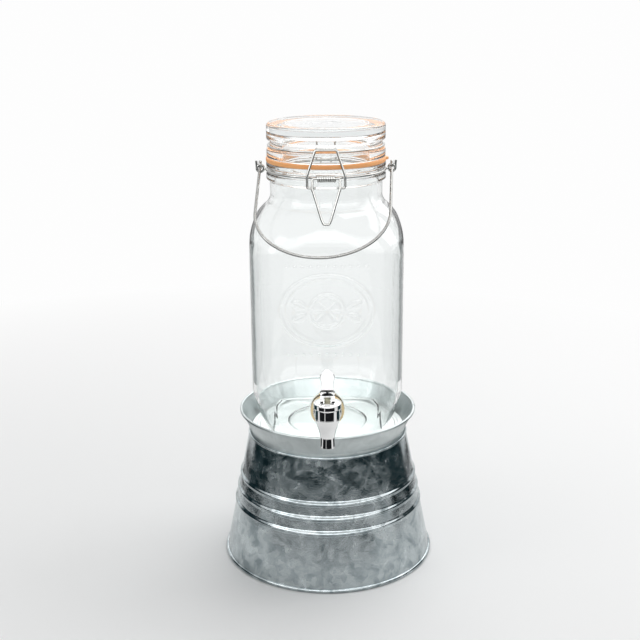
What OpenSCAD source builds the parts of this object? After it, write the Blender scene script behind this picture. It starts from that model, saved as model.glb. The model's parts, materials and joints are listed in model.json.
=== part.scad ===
// Glass drink dispenser: a clip-top jar with a lever tap, standing in the dish of a galvanised pedestal.
// Millimetres, +Z up, front towards -Y, origin on the floor at the centre of the base.

/* [Stand] */
// Outside radius of the wired hem at the floor
base_r = 102.2; // [98:0.1:106]
// Radius of the hem's round bead
hem_bead_r = 2; // [1.7:0.1:2.5]
// Radius of the wire inside the hem
hem_wire_r = 1.1; // [0.7:0.1:1.2]
// Room round the jar's foot corners out to the skirt's top edge
foot_room = 12.6; // [10:0.1:16]
// Height of the skirt's top edge
waist_h = 124.5; // [118:0.5:126]
// Radius of the curl that stiffens the skirt's top edge
waist_curl_r = 1.1; // [0.9:0.1:1.4]
// Thickness of the sheet metal
sheet_t = 0.8; // [0.5:0.05:1]
// Number of ribs rolled into the skirt
rib_count = 3; // [1:1:4]
// Height of the lowest rib
rib_first_h = 54.5; // [40:0.5:58]
// Distance between ribs
rib_pitch = 13.5; // [11:0.5:16]
// Height of one rib's wave along the skirt
rib_w = 6; // [4:0.5:9]
// How far a rib stands out of the skirt
rib_proud = 1.5; // [0.8:0.1:2.2]
// Width of the standing seam at the back of the skirt
skirt_seam_w = 9; // [6:0.5:14]

/* [Dish] */
// How far the dish's rolled rim flares out past the skirt's top edge
dish_flare = 8.9; // [7:0.1:11]
// Height of the dish floor's upper face above the skirt's top edge
dish_rise = 3.5; // [2.5:0.1:6]
// Depth of the dish from its rim to its floor
dish_depth = 19.6; // [15:0.1:23]
// Radius of the rolled rim
rim_bead_r = 1.4; // [1.2:0.1:1.8]
// Radius of the wire inside the rolled rim
rim_wire_r = 0.7; // [0.4:0.05:0.8]
// Depth of the collar that the dish sinks into the skirt
dish_collar_h = 7; // [5:0.5:10]
// Width of the ledge that carries the dish's floor
floor_ledge_w = 2; // [1:0.1:3]
// Width of the lap where the dish wall's two ends meet
dish_lap_w = 9; // [6:0.5:14]

/* [Jar] */
// Width and depth of the body
body_w = 140; // [134:0.5:146]
// Radius of the body's upright corners
corner_r = 42; // [36:0.5:48]
// Thickness of the glass wall
glass_t = 4; // [3.5:0.1:4.5]
// Thickness of the glass base
base_t = 7; // [6:0.5:9]
// Height of the jar up to its rim
jar_h = 257; // [250:0.5:266]
// Height over which the heel draws in
heel_h = 50; // [44:0.5:56]
// How far the heel draws in on each side
heel_run = 18.5; // [15:0.5:21]
// Radius of the rounded edge under the heel
foot_edge_r = 3; // [2:0.5:4]
// Height of the shoulder
shoulder_h = 41; // [38:0.5:46]
// Outside radius of the neck
neck_r = 51.5; // [50.5:0.1:52.2]
// Height of the neck from shoulder to rim
neck_h = 28; // [27:0.5:31]
// Outside radius of the two neck beads
neck_bead_r = 54.6; // [54:0.1:54.9]
// Radius at the bottom of the wire groove
groove_r = 53; // [52.6:0.1:53.4]
// Radius of the hollow pressed into the jar's underside
punt_r = 38; // [30:0.5:42]
// Depth of that hollow
punt_d = 1.5; // [0.8:0.1:2.5]

/* [Lid] */
// Outside radius of the lid
lid_r = 54; // [53:0.1:54.6]
// Height of the lid above its gasket
lid_h = 31; // [29:0.5:34]
// Height of the flange under the lid's groove
lid_flange_h = 8.5; // [8:0.1:10]
// Height of the lid's groove
lid_groove_h = 7; // [6.6:0.1:9]
// Depth of the lid's groove
lid_groove_d = 3; // [2.6:0.1:3.5]
// Radius of the lid's rounded top edge
lid_edge_r = 3; // [2:0.5:5]
// Outside radius of the plug under the lid
plug_r = 44.5; // [43:0.1:44.8]
// Depth of the plug below the lid's flange
plug_h = 5; // [4:0.1:5.5]
// Radius of the hollow under the lid
lid_hollow_r = 40; // [36:0.5:41]
// Thickness of the glass over the hollow
lid_top_t = 9; // [6:0.5:12]
// Thickness of the gasket
gasket_t = 4; // [3:0.1:5]
// Outside radius of the gasket
gasket_r = 54.8; // [54:0.1:55.2]
// How far the gasket's pull tab stands out
tab_out = 2.2; // [1:0.1:3]
// Half the width of the pull tab
tab_r = 4; // [3:0.1:6]

/* [Wires] */
// Radius of the neck, lid and latch wires
wire_r = 1.1; // [0.9:0.05:1.2]
// Half the distance between the lid wire's hinge legs
hinge_half = 11; // [9:0.5:14]
// Distance of the hinge pins from the jar's axis
pin_reach = 58.6; // [58.2:0.1:59]
// Half the width of the latch lever's crossbar
lever_half = 12; // [11:0.5:13]
// Length of the latch lever
lever_len = 39.5; // [36:0.5:43]
// Forward lean of the closed latch lever
lever_lean = 11; // [10:0.5:16]
// Distance from the lever's pivot down to the loop's pivot
loop_drop = 8; // [7.5:0.1:9]
// Half the width of the loop where it is widest
loop_half = 16.5; // [16:0.1:18]
// Half the width of the loop's upper bar
loop_bar_half = 9.3; // [8:0.1:11]
// Radius of the carry handle's wire
bail_wire_r = 1.35; // [1.1:0.05:1.5]
// Half the distance between the carry handle's arms
bail_half = 60; // [59.5:0.1:61]
// Reach of the carry handle from its pivot
bail_reach = 104.5; // [100:0.5:108]
// Length of the handle's straight arms
bail_arm = 55; // [50:0.5:58]
// Sideways lean of the handle over its reach
bail_lean = 6; // [0:0.5:7]
// Gap between the resting handle and the glass
bail_gap = 0.3; // [0.2:0.1:3]
// Radius of the eye in each handle ear
ear_r = 3.2; // [3.1:0.05:3.5]
// Height of the ear's upright wire end
ear_tail_h = 7; // [4:0.5:9]

/* [Tap] */
// Height of the tap's shank above the jar's foot
shank_h = 41; // [38:0.5:44]
// Distance of the tap's barrel from the jar's front
tap_reach = 28; // [26.5:0.5:32]
// Radius of the threaded shank
shank_r = 7.9; // [7:0.1:8.5]
// Radius of the water way
water_r = 4.5; // [3.5:0.1:4.8]
// Radius of the glass boss round the hole
boss_r = 16; // [15.5:0.5:18]
// Thickness of the glass boss
boss_t = 9.4; // [9.2:0.1:10.5]
// Radius of the outer washer
washer_r = 15.3; // [14:0.1:16]
// Thickness of each washer
washer_t = 2; // [1.5:0.1:2.5]
// Radius of the tap's round flange
flange_r = 13; // [12:0.1:14]
// Thickness of the flange
flange_t = 3; // [2:0.1:4]
// Thickness of the lock nut
nut_t = 7; // [5:0.5:9]
// Radius of the nut over its corners
nut_r = 14; // [12:0.5:15.5]
// Radius of the bonnet
bonnet_r = 12.4; // [11.4:0.1:13]
// Height of the bonnet
bonnet_h = 10.5; // [9.5:0.1:12]
// Height of the barrel under the bonnet
barrel_h = 33; // [31:0.5:35]
// Radius of the barrel's top
barrel_r = 11.2; // [10.4:0.1:11.6]
// Radius of the nozzle
nozzle_r = 6.6; // [6:0.1:7]
// Radius of the valve chamber
chamber_r = 6; // [5.7:0.1:6.4]
// Radius of the valve stem
stem_r = 2.2; // [1.8:0.1:2.4]
// Lift of the valve stem when the tap is open
valve_lift = 3; // [2:0.1:3.4]
// Radius of the lever's cam
cam_r = 5; // [4.6:0.1:5.5]
// Half the width of the lever's fork
fork_half = 6.4; // [6.2:0.1:7.5]
// Half the width of the slot in the fork
slot_half = 3.6; // [3.4:0.1:3.9]
// Radius of the lever's pin
lever_pin_r = 1.2; // [0.9:0.05:1.3]
// Height of the thumb disc's centre above the pin
thumb_h = 20; // [18:0.5:24]
// Radius of the thumb disc
thumb_r = 7; // [6:0.1:8]
// Thickness of the lever's thumb piece
thumb_t = 4.4; // [3:0.1:6]
// Number of turns in the valve spring
spring_turns = 5; // [4:1:6]
// Radius of the spring's wire
spring_wire_r = 0.45; // [0.3:0.05:0.5]

/* [Hidden] */
$fn = 96;

// Clearances: a loose seat, a running pin and a pressed piece
seat_gap = 0.3;
pin_gap = 0.06;
snug_gap = 0.05;
// A cut runs this far past the face that it opens
past = 1;

// Stand: the hem's centre, the cone's foot and the seats of the dish
hem_flat = 0.3;
foot_shift = 0.3;
jar_foot_r = (body_w / 2 - corner_r) * sqrt(2) + corner_r - heel_run;
waist_r = jar_foot_r + foot_room;
dish_rim_r = waist_r + dish_flare;
fit_gap = 0.2;
hem_z = hem_bead_r - hem_flat;
hem_c = base_r - hem_bead_r;
cone_foot_r = hem_c + foot_shift;
rib_steps = 8;
dish_floor_h = waist_h + dish_rise;
dish_rim_h = dish_floor_h + dish_depth;
dish_collar_r = waist_r - max(waist_curl_r, sheet_t) - snug_gap;
floor_r = dish_collar_r - sheet_t - fit_gap;
rim_c = dish_rim_r - rim_bead_r;
rim_z = dish_rim_h - rim_bead_r;
seam_proud = 0.7;
seam_start = 0.8;
lap_foot = 2;

// Jar: heights from the floor, and the loft's sections
jar_z = dish_floor_h;
body_half = body_w / 2;
body_flat = body_half - corner_r;
rim_top_z = jar_z + jar_h;
neck_z = rim_top_z - neck_h;
shoulder_z = neck_z - shoulder_h;
// The loft's top ring is buried in the neck by this much on each side
neck_lap = 0.3;
neck_lap_h = 3;
round_flat = 0.3;
corner_steps = 10;
heel_steps = 8;
shoulder_steps = 12;
foot_steps = 3;
shoulder_share = 0.73;
loft_neck_r = neck_r - neck_lap;
shoulder_turn = 2 * atan((body_half - loft_neck_r) / shoulder_h);
shoulder_sum = shoulder_h / sin(shoulder_turn);
shoulder_r = shoulder_share * shoulder_sum;
throat_r = shoulder_sum - shoulder_r;
flat_lead = 10;
groove_h = 5;
groove_drop = 7;
groove_z = rim_top_z - groove_drop;
neck_in_r = neck_r - glass_t;
bead_h = 7;
bead_round = 1.6;
bead_wrap = 60;

// Lid and gasket
gasket_z = rim_top_z;
lid_z = gasket_z + gasket_t;
lid_top_z = lid_z + lid_h;
lid_groove_z = lid_z + lid_flange_h;
lid_neck_r = lid_r - lid_groove_d;
lid_small_edge = 1.2;
tab_share = 0.6;

// Wires: the neck band, the hinge pins, the latch and the handle
band_r = groove_r + wire_r + seat_gap;
band_z = groove_z;
eye_r = 2 * wire_r + pin_gap;
eye_root_y = sqrt(pow(band_r, 2) - pow(hinge_half / 2, 2));
wrap_turns = 5;
wrap_pitch = 1.8 * wire_r;
tube_r = 0.95 * wire_r;
tube_sides = 8;
lid_wire_r = lid_neck_r + wire_r + seat_gap;
lid_wire_rise = 1.2;
lid_wire_z = lid_groove_z + wire_r + lid_wire_rise;
hump_half = 8;
hump_rise = 3;
hump_out = 0.3;
hump_run = 3;
leg_bend = 1.5;
stub_r = 0.9 * wire_r;
loop_pivot_y = -pin_reach - loop_drop * sin(lever_lean) + eye_r * cos(lever_lean);
loop_pivot_z = band_z - loop_drop * cos(lever_lean) - eye_r * sin(lever_lean);
loop_gap = 0.5;
loop_sink = 0.6;
loop_bar_y = -(lid_r + wire_r + loop_gap);
loop_bar_z = lid_wire_z + hump_rise - loop_sink;
loop_len = norm([loop_bar_y - loop_pivot_y, loop_bar_z - loop_pivot_z]);
loop_lean = atan2(loop_bar_y - loop_pivot_y, loop_bar_z - loop_pivot_z);
loop_pin_tail = 3;
loop_pin_in = lever_half - loop_pin_tail;
loop_corner_x = 1.2;
loop_corner_h = 2;
lever_knee = 1;
lever_tip_r = 4.2;
ear_x = bail_half;
ear_z = band_z;
bail_axis_z = ear_z + ear_r;
bail_eye_gap = 0.5;
bail_eye_hole = wire_r + bail_eye_gap;
bail_eye_r = bail_eye_hole + bail_wire_r;
bail_steps = 26;
rest_steps = 24;
rest_share = 2 / 3;

// Tap: the barrel's axis and the heights of its stack
front_y = -body_half;
boss_proud = 0.4;
boss_front_y = front_y - boss_proud;
boss_back_y = boss_front_y + boss_t;
hole_r = shank_r + seat_gap;
tap_y = front_y - tap_reach;
shank_z = jar_z + shank_h;
flange_back_y = boss_front_y - washer_t;
flange_front_y = flange_back_y - flange_t;
inner_washer_y = boss_back_y + washer_t;
nut_y = inner_washer_y + nut_t;
shank_tail = 4;
shank_end_y = nut_y + shank_tail;
thread_d = 0.6;
shank_neck_r = shank_r - thread_d;
chamber_rise = 4.5;
barrel_top_z = shank_z + water_r + chamber_rise;
barrel_straight = 4;
barrel_steps = 6;
bonnet_top_z = barrel_top_z + bonnet_h;
bonnet_flat_r = 8.6;
nozzle_z = barrel_top_z - barrel_h;
nozzle_flare = 0.4;
nozzle_h = 9;
outlet_r = 4;
seat_z = shank_z - water_r - chamber_rise;
stem_seat = 1;
seal_h = 4.2;
seal_gap = 0.4;
seal_r = chamber_r - seal_gap;
collar_z = seat_z + seal_h;
collar_h = 1;
collar_step = 0.8;
collar_r = seal_r - collar_step;
spigot_h = 3.5;
spring_pocket_r = 4.8;
spring_pocket_h = 4;
spring_top_z = barrel_top_z + spring_pocket_h;
spring_gap = 1.4;
spring_r = stem_r + spring_gap;
spring_ring = 8;
spring_sides = 6;
// The cam's centre lies off the pin by the lift, so a sixth of a turn raises the pin by that lift
cam_off = valve_lift;
cam_rest = 30;
cam_gap = 0.05;
pin_z = bonnet_top_z + cam_gap + cam_r - cam_off * sin(cam_rest);
cam_y = tap_y - cam_off * cos(cam_rest);
cam_z = pin_z + cam_off * sin(cam_rest);
head_r = slot_half - seat_gap;
head_rise = 2.6;
head_top_z = pin_z + head_rise;
head_z = bonnet_top_z + seat_gap;
step_rise = 7.5;
step_z = pin_z + step_rise;
slot_rise = 3;
slot_top_z = pin_z + slot_rise;
neck_step = 0.9;
neck_half = fork_half - neck_step;
pin_sink = 0.2;

// Vectors, arcs and sweeps
function unit(v) = v / norm(v);
function turned(list) = [for (i = [len(list) - 1:-1:0]) list[i]];
function arc(c, r, from, to, steps) =
    [for (i = [0:steps]) let (a = from + (to - from) * i / steps) c + r * [cos(a), sin(a)]];
function smooth(t) = t * t * (3 - 2 * t);
function tangent(path, i) =
    unit(path[min(i + 1, len(path) - 1)] - path[max(i - 1, 0)]);
function loft_sides(rings, n) =
    [for (i = [0:rings - 2]) for (j = [0:n - 1]) let (k = (j + 1) % n)
        each [[i * n + j, (i + 1) * n + k, i * n + k], [i * n + j, (i + 1) * n + j, (i + 1) * n + k]]];

// Closed skin over a stack of rings that all have the same number of points
module loft(rings) {
    n = len(rings[0]);
    last = (len(rings) - 1) * n;
    polyhedron(
        points = [for (ring = rings) each ring],
        faces = concat(
            [[for (j = [0:n - 1]) j]],
            loft_sides(len(rings), n),
            [[for (j = [n - 1:-1:0]) last + j]]));
}

// Round wire along a path that lies in one plane, whose normal is given
module wire(path, normal, r) {
    loft([for (i = [0:len(path) - 1])
        let (side = cross(tangent(path, i), normal))
        [for (j = [0:tube_sides - 1])
            let (a = 360 * j / tube_sides)
            path[i] + r * (cos(a) * normal + sin(a) * side)]]);
}

// Ring of round wire about an axis that points along X
module ring_x(p, major, minor) {
    translate(p) rotate([0, 90, 0]) rotate_extrude() translate([major, 0]) circle(minor);
}

// Ring of round wire about the jar's own axis
module ring_z(z, major, minor) {
    translate([0, 0, z]) rotate_extrude() translate([major, 0]) circle(minor);
}

// Straight round bar along X, centred on x
module bar_x(p, half, r) {
    translate(p) rotate([0, 90, 0]) cylinder(h = 2 * half, r = r, center = true);
}

// Round bar along Y between two places
module bar_y(x, z, from, to, r) {
    translate([x, from, z]) rotate([-90, 0, 0]) cylinder(h = to - from, r = r);
}

// Stand
function cone_r(z) = waist_r + (waist_h - z) * (cone_foot_r - waist_r) / (waist_h - hem_z);
function rib_wave(z) =
    [for (i = [-rib_steps:rib_steps]) let (u = i / rib_steps, h = z + u * rib_w / 2)
        [cone_r(h) + rib_proud * (1 + cos(180 * u)) / 2, h]];
function skirt_line() = concat(
    [[cone_r(hem_z), hem_z]],
    [for (k = [0:rib_count - 1]) each rib_wave(rib_first_h + k * rib_pitch)],
    [[waist_r, waist_h]]);
function inward(line) = [for (p = turned(line)) p - [sheet_t, 0]];

module stand_skirt() {
    color("darkgray") {
        rotate_extrude() difference() {
            union() {
                polygon(concat(skirt_line(), inward(skirt_line())));
                translate([hem_c, hem_z]) circle(hem_bead_r);
                translate([waist_r, waist_h - waist_curl_r]) circle(waist_curl_r);
            }
            translate([hem_c, hem_z]) circle(hem_wire_r + snug_gap);
            translate([0, -2 * hem_bead_r]) square([2 * base_r, 2 * hem_bead_r]);
        }
        skirt_seam();
    }
}

// Folded seam that closes the skirt's sheet at the back
module skirt_seam() {
    low = hem_z + hem_bead_r * seam_start;
    high = waist_h - waist_curl_r;
    intersection() {
        rotate_extrude() polygon([
            [cone_r(low) - sheet_t / 2, low],
            [cone_r(low) + seam_proud, low],
            [cone_r(high) + seam_proud, high],
            [cone_r(high) - sheet_t / 2, high]]);
        translate([-skirt_seam_w / 2, 0, 0]) cube([skirt_seam_w, 2 * base_r, 2 * waist_h]);
    }
}

module hem_wire() {
    color("dimgray") ring_z(hem_z, hem_c, hem_wire_r);
}

module dish_wall() {
    foot_z = waist_h - dish_collar_h;
    knee_z = dish_floor_h - sheet_t;
    line = [[dish_collar_r, foot_z], [dish_collar_r, knee_z], [rim_c, rim_z]];
    ledge_r = dish_collar_r - sheet_t - floor_ledge_w;
    color("lightgray") {
        rotate_extrude() difference() {
            union() {
                polygon(concat(line, inward(line)));
                translate([ledge_r, knee_z - sheet_t]) square([floor_ledge_w + sheet_t / 2, sheet_t]);
                translate([rim_c, rim_z]) circle(rim_bead_r);
            }
            translate([rim_c, rim_z]) circle(rim_wire_r + snug_gap);
        }
        dish_lap(knee_z);
    }
}

// Lap where the two ends of the dish wall's strip meet, at the right
module dish_lap(knee_z) {
    low = knee_z + lap_foot;
    high = rim_z - (rim_bead_r + rim_wire_r + snug_gap) / 2;
    slope = (rim_c - dish_collar_r) / (rim_z - knee_z);
    low_r = dish_collar_r + slope * (low - knee_z);
    high_r = dish_collar_r + slope * (high - knee_z);
    intersection() {
        rotate_extrude() polygon([
            [low_r - sheet_t / 2, low],
            [low_r + seam_proud, low],
            [high_r + seam_proud, high],
            [high_r - sheet_t / 2, high]]);
        translate([0, -dish_lap_w / 2, 0]) cube([2 * dish_rim_r, dish_lap_w, 2 * dish_rim_h]);
    }
}

module dish_floor() {
    color("gainsboro") translate([0, 0, dish_floor_h - sheet_t]) cylinder(h = sheet_t, r = floor_r);
}

module rim_wire() {
    color("dimgray") ring_z(rim_z, rim_c, rim_wire_r);
}

// Jar: half width and half flat of the glass at a height above the foot
function heel_inset(h) = h >= heel_h ? 0 : heel_run * pow((heel_h - h) / heel_h, 1.5);
function shoulder_inset(h) =
    h <= shoulder_r * sin(shoulder_turn)
        ? shoulder_r - sqrt(pow(shoulder_r, 2) - pow(h, 2))
        : body_half - loft_neck_r - throat_r + sqrt(pow(throat_r, 2) - pow(shoulder_h - h, 2));
function flat_at(z) =
    let (t = min(1, max(0, (z - shoulder_z + flat_lead) / shoulder_h)))
    body_flat + (round_flat - body_flat) * smooth(t);
function corner_ring(half, flat, z) =
    [for (q = [0:3]) for (i = [0:corner_steps])
        let (a = 90 * (q + i / corner_steps), c = half - flat)
        let (side = [q == 0 || q == 3 ? 1 : -1, q < 2 ? 1 : -1])
        [side[0] * flat + c * cos(a), side[1] * flat + c * sin(a), z]];
function jar_ring(half, z) = corner_ring(half, flat_at(z), z);
function glass_y(x, z) =
    let (half = body_half - shoulder_inset(z - shoulder_z), flat = flat_at(z), over = max(0, x - flat))
    flat + sqrt(max(0, pow(half - flat, 2) - pow(over, 2)));

// The glass skin's rings from its foot edge to the neck, drawn in by the wall for the inside
function jar_rings(draw_in, foot_z) =
    let (low = foot_z + foot_edge_r, low_half = body_half - draw_in - heel_inset(low - jar_z))
    concat(
        [for (i = [0:foot_steps - 1]) let (a = 90 * i / foot_steps)
            jar_ring(low_half - foot_edge_r * (1 - sin(a)), low - foot_edge_r * cos(a))],
        [for (i = [0:heel_steps]) let (z = low + (jar_z + heel_h - low) * i / heel_steps)
            jar_ring(body_half - draw_in - heel_inset(z - jar_z), z)],
        [for (i = [0:shoulder_steps]) let (h = shoulder_h * i / shoulder_steps)
            jar_ring(body_half - draw_in - shoulder_inset(h), shoulder_z + h)],
        [jar_ring(loft_neck_r - draw_in, neck_z + neck_lap_h)]);

module jar_body() {
    outer = jar_rings(0, jar_z);
    inner = jar_rings(glass_t - 2 * neck_lap, jar_z + base_t);
    loft(concat(outer, turned(inner)));
}

module jar_neck() {
    bead_z = groove_z - groove_h / 2 - bead_h;
    groove_top = groove_z + groove_h / 2;
    rotate_extrude() polygon(concat(
        [[neck_in_r, neck_z + neck_lap_h / 2], [neck_r, neck_z + neck_lap_h / 2], [neck_r, bead_z]],
        arc([neck_bead_r - bead_round, bead_z + 2 * bead_round], bead_round, -bead_wrap, 0, 3),
        arc([neck_bead_r - bead_round, bead_z + bead_h - bead_round], bead_round, 0, bead_wrap, 3),
        [[groove_r, bead_z + bead_h], [groove_r, groove_top]],
        arc([neck_bead_r - bead_round, groove_top + bead_round], bead_round, -bead_wrap, 0, 3),
        arc([neck_bead_r - bead_round, rim_top_z - bead_round], bead_round, 0, 90, 4),
        arc([neck_in_r + bead_round, rim_top_z - bead_round], bead_round, 90, 180, 4)));
}

module glass_jar() {
    color("aliceblue") difference() {
        union() {
            jar_body();
            jar_neck();
            bar_y(0, shank_z, boss_front_y, boss_back_y, boss_r);
        }
        bar_y(0, shank_z, boss_front_y - past, boss_back_y + past, hole_r);
        translate([0, 0, jar_z - past]) cylinder(h = punt_d + past, r = punt_r);
    }
}

// Lid, and the gasket with its pull tab at the right
module glass_lid() {
    hollow_z = lid_top_z - lid_top_t;
    ring_z = lid_groove_z + lid_groove_h;
    color("aliceblue") rotate_extrude() polygon(concat(
        [[0, hollow_z], [lid_hollow_r - lid_edge_r, hollow_z]],
        arc([lid_hollow_r - lid_edge_r, hollow_z - lid_edge_r], lid_edge_r, 90, 0, 5),
        [[lid_hollow_r, lid_z - plug_h], [plug_r - lid_small_edge, lid_z - plug_h]],
        arc([plug_r - lid_small_edge, lid_z - plug_h + lid_small_edge], lid_small_edge, -90, 0, 3),
        [[plug_r, lid_z]],
        arc([lid_r - lid_small_edge, lid_z + lid_small_edge], lid_small_edge, -90, 0, 3),
        arc([lid_r - lid_small_edge, lid_groove_z - lid_small_edge], lid_small_edge, 0, 90, 3),
        [[lid_neck_r, lid_groove_z], [lid_neck_r, ring_z]],
        arc([lid_r - lid_small_edge, ring_z + lid_small_edge], lid_small_edge, -90, 0, 3),
        arc([lid_r - lid_edge_r, lid_top_z - lid_edge_r], lid_edge_r, 0, 90, 6),
        [[0, lid_top_z]]));
}

module lid_gasket() {
    inner_r = plug_r + seat_gap;
    round_r = gasket_t / 4;
    color("darkorange") {
        rotate_extrude() polygon(concat(
            [[inner_r, gasket_z], [gasket_r - round_r, gasket_z]],
            arc([gasket_r - round_r, gasket_z + round_r], round_r, -90, 0, 3),
            arc([gasket_r - round_r, gasket_z + gasket_t - round_r], round_r, 0, 90, 3),
            [[inner_r, gasket_z + gasket_t]]));
        translate([gasket_r + tab_out - tab_r, 0, gasket_z + gasket_t * (1 - tab_share) / 2])
            cylinder(h = gasket_t * tab_share, r = tab_r);
    }
}

// Wire round the neck, with the wraps and eyes that hold the latch, the lid and the handle
module neck_band() {
    color("silver") {
        ring_z(band_z, band_r, wire_r);
        for (i = [0:wrap_turns - 1])
            ring_x([(i - (wrap_turns - 1) / 2) * wrap_pitch, -pin_reach, band_z], eye_r, wire_r);
        bar_y(0, band_z, -pin_reach + eye_r, -band_r, stub_r);
        for (side = [-1, 1]) {
            ring_x([side * hinge_half / 2, pin_reach, band_z], eye_r, wire_r);
            bar_y(side * hinge_half / 2, band_z, eye_root_y, pin_reach - eye_r, stub_r);
            handle_ear(side);
        }
    }
}

module handle_ear(side) {
    stub = ear_x - ear_r - band_r;
    translate([side * ear_x, 0, ear_z]) rotate([90, 0, 0])
        rotate_extrude() translate([ear_r, 0]) circle(wire_r);
    bar_x([side * ear_x, 0, bail_axis_z], wire_r, wire_r);
    bar_x([side * (band_r + stub / 2), 0, ear_z], stub / 2, stub_r);
    translate([side * (ear_x + ear_r + wire_r / 2), 0, ear_z]) cylinder(h = ear_tail_h, r = stub_r);
}

// Wire in the lid's groove, with its hump under the latch loop and its hinge legs at the back
module lid_wire() {
    leg_y = sqrt(pow(lid_wire_r, 2) - pow(hinge_half, 2));
    hump_y = -(lid_wire_r + hump_out);
    side_x = hump_half + hump_run;
    side_y = -sqrt(pow(lid_wire_r, 2) - pow(side_x, 2));
    high_z = lid_wire_z + hump_rise;
    color("silver") {
        ring_z(lid_wire_z, lid_wire_r, wire_r);
        wire([[-side_x, side_y, lid_wire_z], [-hump_half, hump_y, high_z],
            [hump_half, hump_y, high_z], [side_x, side_y, lid_wire_z]], [0, 1, 0], tube_r);
        bar_x([0, pin_reach, band_z], hinge_half + tube_r / 2, wire_r);
        for (side = [-1, 1])
            wire([for (p = [[leg_y, lid_wire_z], [pin_reach - leg_bend, lid_wire_z],
                [pin_reach, lid_wire_z - leg_bend], [pin_reach, band_z]]) [side * hinge_half, p[0], p[1]]],
                [1, 0, 0], tube_r);
    }
}

// Place on the closed lever, x across and d down from its pivot
function on_lever(x, d) =
    [x, -pin_reach - d * sin(lever_lean), band_z - d * cos(lever_lean)];

module latch_lever() {
    normal = [0, -cos(lever_lean), sin(lever_lean)];
    tip_d = lever_len - lever_tip_r;
    left = [for (p = [[-lever_half, 0], [-lever_half, loop_drop + lever_knee], [-lever_tip_r, tip_d]])
        on_lever(p[0], p[1])];
    tip = [for (a = [150, 120, 90, 60, 30])
        on_lever(lever_tip_r * cos(a), tip_d + lever_tip_r * sin(a))];
    right = [for (p = turned(left)) [-p[0], p[1], p[2]]];
    color("silver") {
        bar_x([0, -pin_reach, band_z], lever_half + tube_r / 2, wire_r);
        wire(concat(left, tip, right), normal, tube_r);
        for (side = [-1, 1])
            ring_x([side * lever_half, loop_pivot_y, loop_pivot_z], eye_r, wire_r);
    }
}

// Place on the closed loop, x across and d up from its pivot
function on_loop(x, d) =
    [x, loop_pivot_y + d * sin(loop_lean), loop_pivot_z + d * cos(loop_lean)];

module latch_loop() {
    normal = [0, -cos(loop_lean), sin(loop_lean)];
    half_len = loop_len / 3;
    left = [for (p = [[-loop_half, 0], [-loop_half, half_len],
        [-loop_bar_half - loop_corner_x, loop_len - loop_corner_h], [-loop_bar_half, loop_len]])
        on_loop(p[0], p[1])];
    right = [for (p = turned(left)) [-p[0], p[1], p[2]]];
    pin_half = (loop_half - loop_pin_in) / 2;
    color("silver") {
        wire(concat(left, right), normal, tube_r);
        for (side = [-1, 1])
            bar_x([side * (loop_pin_in + pin_half), loop_pivot_y, loop_pivot_z],
                pin_half + tube_r / 2, wire_r);
    }
}

// The handle hangs from its ears until its bow comes to rest on the shoulder
function bow_x(s) =
    let (t = min(1, max(0, (s - bail_arm) / (bail_reach - bail_arm))))
    bail_half * sqrt(1 - t * t) - bail_lean * s / bail_reach;
function rest_angle(z) =
    let (drop = bail_axis_z - z, far_y = glass_y(bow_x(norm([glass_y(0, z), drop])), z))
    let (x = bow_x(norm([far_y, drop])) - bail_wire_r, y = glass_y(x, z))
    atan2(y, drop) + asin((bail_wire_r + bail_gap) / norm([y, drop]));
bail_angle = max([for (i = [0:rest_steps])
    rest_angle(shoulder_z + rest_share * shoulder_h * i / rest_steps)]);

// Place on the resting handle, x across and s out from its pivot, leaning to one side
function on_bail(x, s) =
    [x - bail_lean * s / bail_reach, -s * sin(bail_angle), bail_axis_z - s * cos(bail_angle)];

module carry_handle() {
    normal = [0, -cos(bail_angle), sin(bail_angle)];
    sweep = bail_reach - bail_arm;
    start_s = bail_eye_r;
    bow = [for (i = [0:bail_steps]) let (a = 180 - 180 * i / bail_steps)
        on_bail(bail_half * cos(a), bail_arm + sweep * sin(a))];
    color("silver") {
        wire(concat([on_bail(-bail_half, start_s)], bow, [on_bail(bail_half, start_s)]), normal, bail_wire_r);
        for (side = [-1, 1])
            ring_x([side * bail_half, 0, bail_axis_z], bail_eye_r, bail_wire_r);
    }
}

// Tap
function barrel_line() =
    let (waist_z = nozzle_z + nozzle_h, top_z = barrel_top_z - barrel_straight)
    concat(
        [[nozzle_r + nozzle_flare, nozzle_z], [nozzle_r, nozzle_z + nozzle_h / 2]],
        [for (i = [0:barrel_steps]) let (t = i / barrel_steps)
            [nozzle_r + (barrel_r - nozzle_r) * smooth(t), waist_z + (top_z - waist_z) * t]],
        [[barrel_r, barrel_top_z]]);

module tap_body() {
    color("lightgray") difference() {
        union() {
            translate([0, tap_y, 0]) rotate_extrude()
                polygon(concat(barrel_line(), [[0, barrel_top_z], [0, nozzle_z]]));
            bar_y(0, shank_z, tap_y, flange_front_y + past, shank_neck_r);
            bar_y(0, shank_z, flange_front_y, flange_back_y, flange_r);
            bar_y(0, shank_z, flange_back_y - past, shank_end_y, shank_r);
        }
        bar_y(0, shank_z, tap_y, shank_end_y + past, water_r);
        translate([0, tap_y, seat_z]) cylinder(h = barrel_h, r = chamber_r);
        translate([0, tap_y, nozzle_z - past]) cylinder(h = barrel_h, r = outlet_r);
    }
}

module tap_bonnet() {
    edge = 1.5;
    color("silver") translate([0, tap_y, 0]) rotate_extrude() polygon([
        [spring_pocket_r, barrel_top_z - spigot_h],
        [chamber_r - snug_gap, barrel_top_z - spigot_h],
        [chamber_r - snug_gap, barrel_top_z],
        [bonnet_r, barrel_top_z],
        [bonnet_r, bonnet_top_z - edge],
        [bonnet_flat_r, bonnet_top_z],
        [stem_r + pin_gap, bonnet_top_z],
        [stem_r + pin_gap, spring_top_z],
        [spring_pocket_r, spring_top_z]]);
}

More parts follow.
